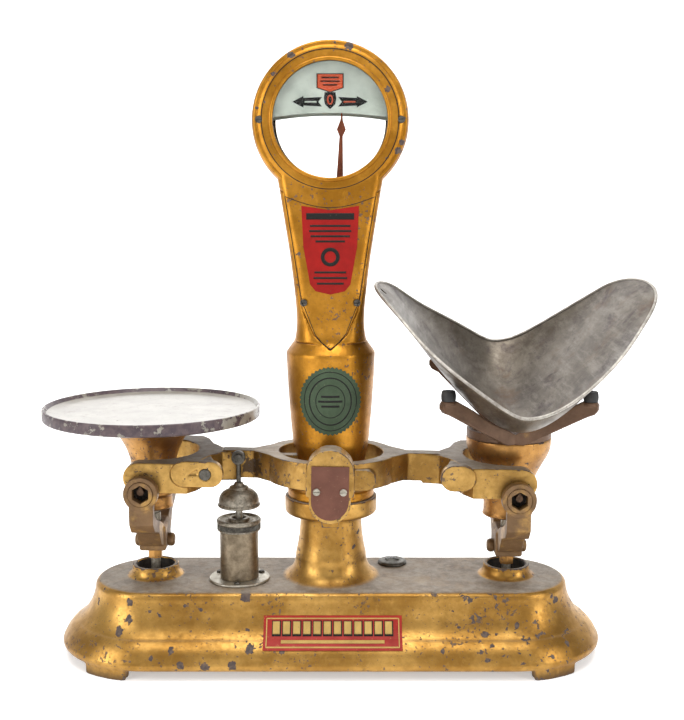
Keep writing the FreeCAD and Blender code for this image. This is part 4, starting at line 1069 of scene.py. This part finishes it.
def knurled_band():
    """Dark knurled grip round the dashpot cap."""
    low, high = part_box("dashpot_cap")
    centre = Vector(((low.x + high.x) / 2, (low.y + high.y) / 2, low.z))
    bm = bmesh.new()
    rings = []
    for radius, height, ridge in ((17.7, 1.5, 0), (18.1, 1.6, 0.45), (18.1, 5.6, 0.45), (17.7, 5.7, 0)):
        ring = []
        for i in range(2 * KNURLS):
            angle = math.pi * i / KNURLS
            r = (radius + ridge * (i % 2)) * MM
            spoke = Vector((r * math.cos(angle), r * math.sin(angle), height * MM))
            ring.append(bm.verts.new(centre + spoke))
        rings.append(ring)
    for lower, upper in zip(rings, rings[1:] + rings[:1]):
        for i in range(2 * KNURLS):
            j = (i + 1) % (2 * KNURLS)
            bm.faces.new((lower[i], lower[j], upper[j], upper[i]))
    band = from_bmesh("dashpot_cap_knurl", bm)
    for polygon in band.data.polygons:
        polygon.use_smooth = False
    finish_piece(band, "stand", "dark_metal")


def make_dashpot():
    cast("dashpot_cylinder", 0.0004, 1, TUBE_METAL)
    cast("dashpot_flange", 0.0004, 2)
    cast("plunger_eye", 0.00025, 1)
    turned("plunger_dome", DOME_OUTLINE, MATERIALS["steel"])
    turned("dashpot_cap", CAP_OUTLINE, MATERIALS["steel"])
    knurled_band()
    cast("level_housing", 0.0004, 3)


def paint_cad_nodes():
    """Give every CAD node its slot's finish; those that no piece replaces stay in view."""
    for node, obj in frame["nodes"].items():
        obj.data.materials.clear()
        obj.data.materials.append(MATERIALS[SLOT_OF[node]])


# ---- Stage -----------------------------

def make_stage():
    """Pale floor that sweeps up into a backdrop."""
    bm = bmesh.new()
    wide, deep, behind, sweep, tall = 6.0, 5.0, 1.4, 0.8, 4.0
    angles = [math.radians(9 * i) for i in range(1, 11)]
    profile = [(-deep, 0.0), (behind, 0.0)]
    profile += [(behind + sweep * math.sin(a), sweep - sweep * math.cos(a)) for a in angles]
    profile += [(behind + sweep, tall)]
    rows = [[bm.verts.new((x, y, z)) for y, z in profile] for x in (-wide, wide)]
    for i in range(len(profile) - 1):
        bm.faces.new((rows[0][i], rows[1][i], rows[1][i + 1], rows[0][i + 1]))
    floor = from_bmesh("backdrop", bm)
    floor.data.materials.append(floor_paper())


def area_light(name, place, target, size, power, color=(1, 1, 1)):
    data = bpy.data.lights.new(name, "AREA")
    data.shape = "RECTANGLE"
    data.size, data.size_y = size
    data.energy = power
    data.color = color
    lamp = bpy.data.objects.new(name, data)
    bpy.context.scene.collection.objects.link(lamp)
    lamp.location = place
    lamp.rotation_mode = "QUATERNION"
    lamp.rotation_quaternion = (Vector(target) - Vector(place)).to_track_quat("-Z", "Y")
    return lamp


def make_lights():
    aim = (0.0, 0.0, 0.22)
    area_light("left_box", (-1.45, -0.95, 0.75), aim, (0.60, 1.3), 15)
    area_light("right_box", (1.50, -0.95, 0.75), aim, (0.45, 1.3), 13)
    area_light("top_box", (0.0, -0.35, 1.9), aim, (1.6, 1.2), 31)
    area_light("front_fill", (0.2, -2.6, 1.1), aim, (1.4, 0.9), 7)
    area_light("wall_wash", (0.0, 0.9, 1.8), (0.0, 2.2, 0.6), (2.4, 0.5), 36)
    world = bpy.data.worlds.new("studio")
    world.use_nodes = True
    background = world.node_tree.nodes["Background"]
    background.inputs["Color"].default_value = (1.0, 1.0, 1.0, 1.0)
    background.inputs["Strength"].default_value = 0.27
    bpy.context.scene.world = world
    bpy.context.scene.view_settings.view_transform = "Standard"


SENSOR_WIDTH = 36.0        # camera sensor and lens in millimetres, pitch in degrees
LENS = 57.5
CAMERA_PITCH = 8.0
CAMERA_PLACE = (COLUMN_X + 0.0096, -0.967, 0.389)


def make_camera():
    data = bpy.data.cameras.new("camera")
    data.sensor_width = SENSOR_WIDTH
    data.lens = LENS
    camera = bpy.data.objects.new("camera", data)
    bpy.context.scene.collection.objects.link(camera)
    camera.location = CAMERA_PLACE
    camera.rotation_euler = (math.radians(90 - CAMERA_PITCH), 0, 0)
    bpy.context.scene.camera = camera


make_camera()
make_stage()
make_lights()
paint_cad_nodes()
make_stand()
bezel_rings()
neck_stripes()
dial_print()
label_print()
seal_print()
badge_print()
make_beam()
make_hangers()
make_plate()
make_scoop()
make_dashpot()
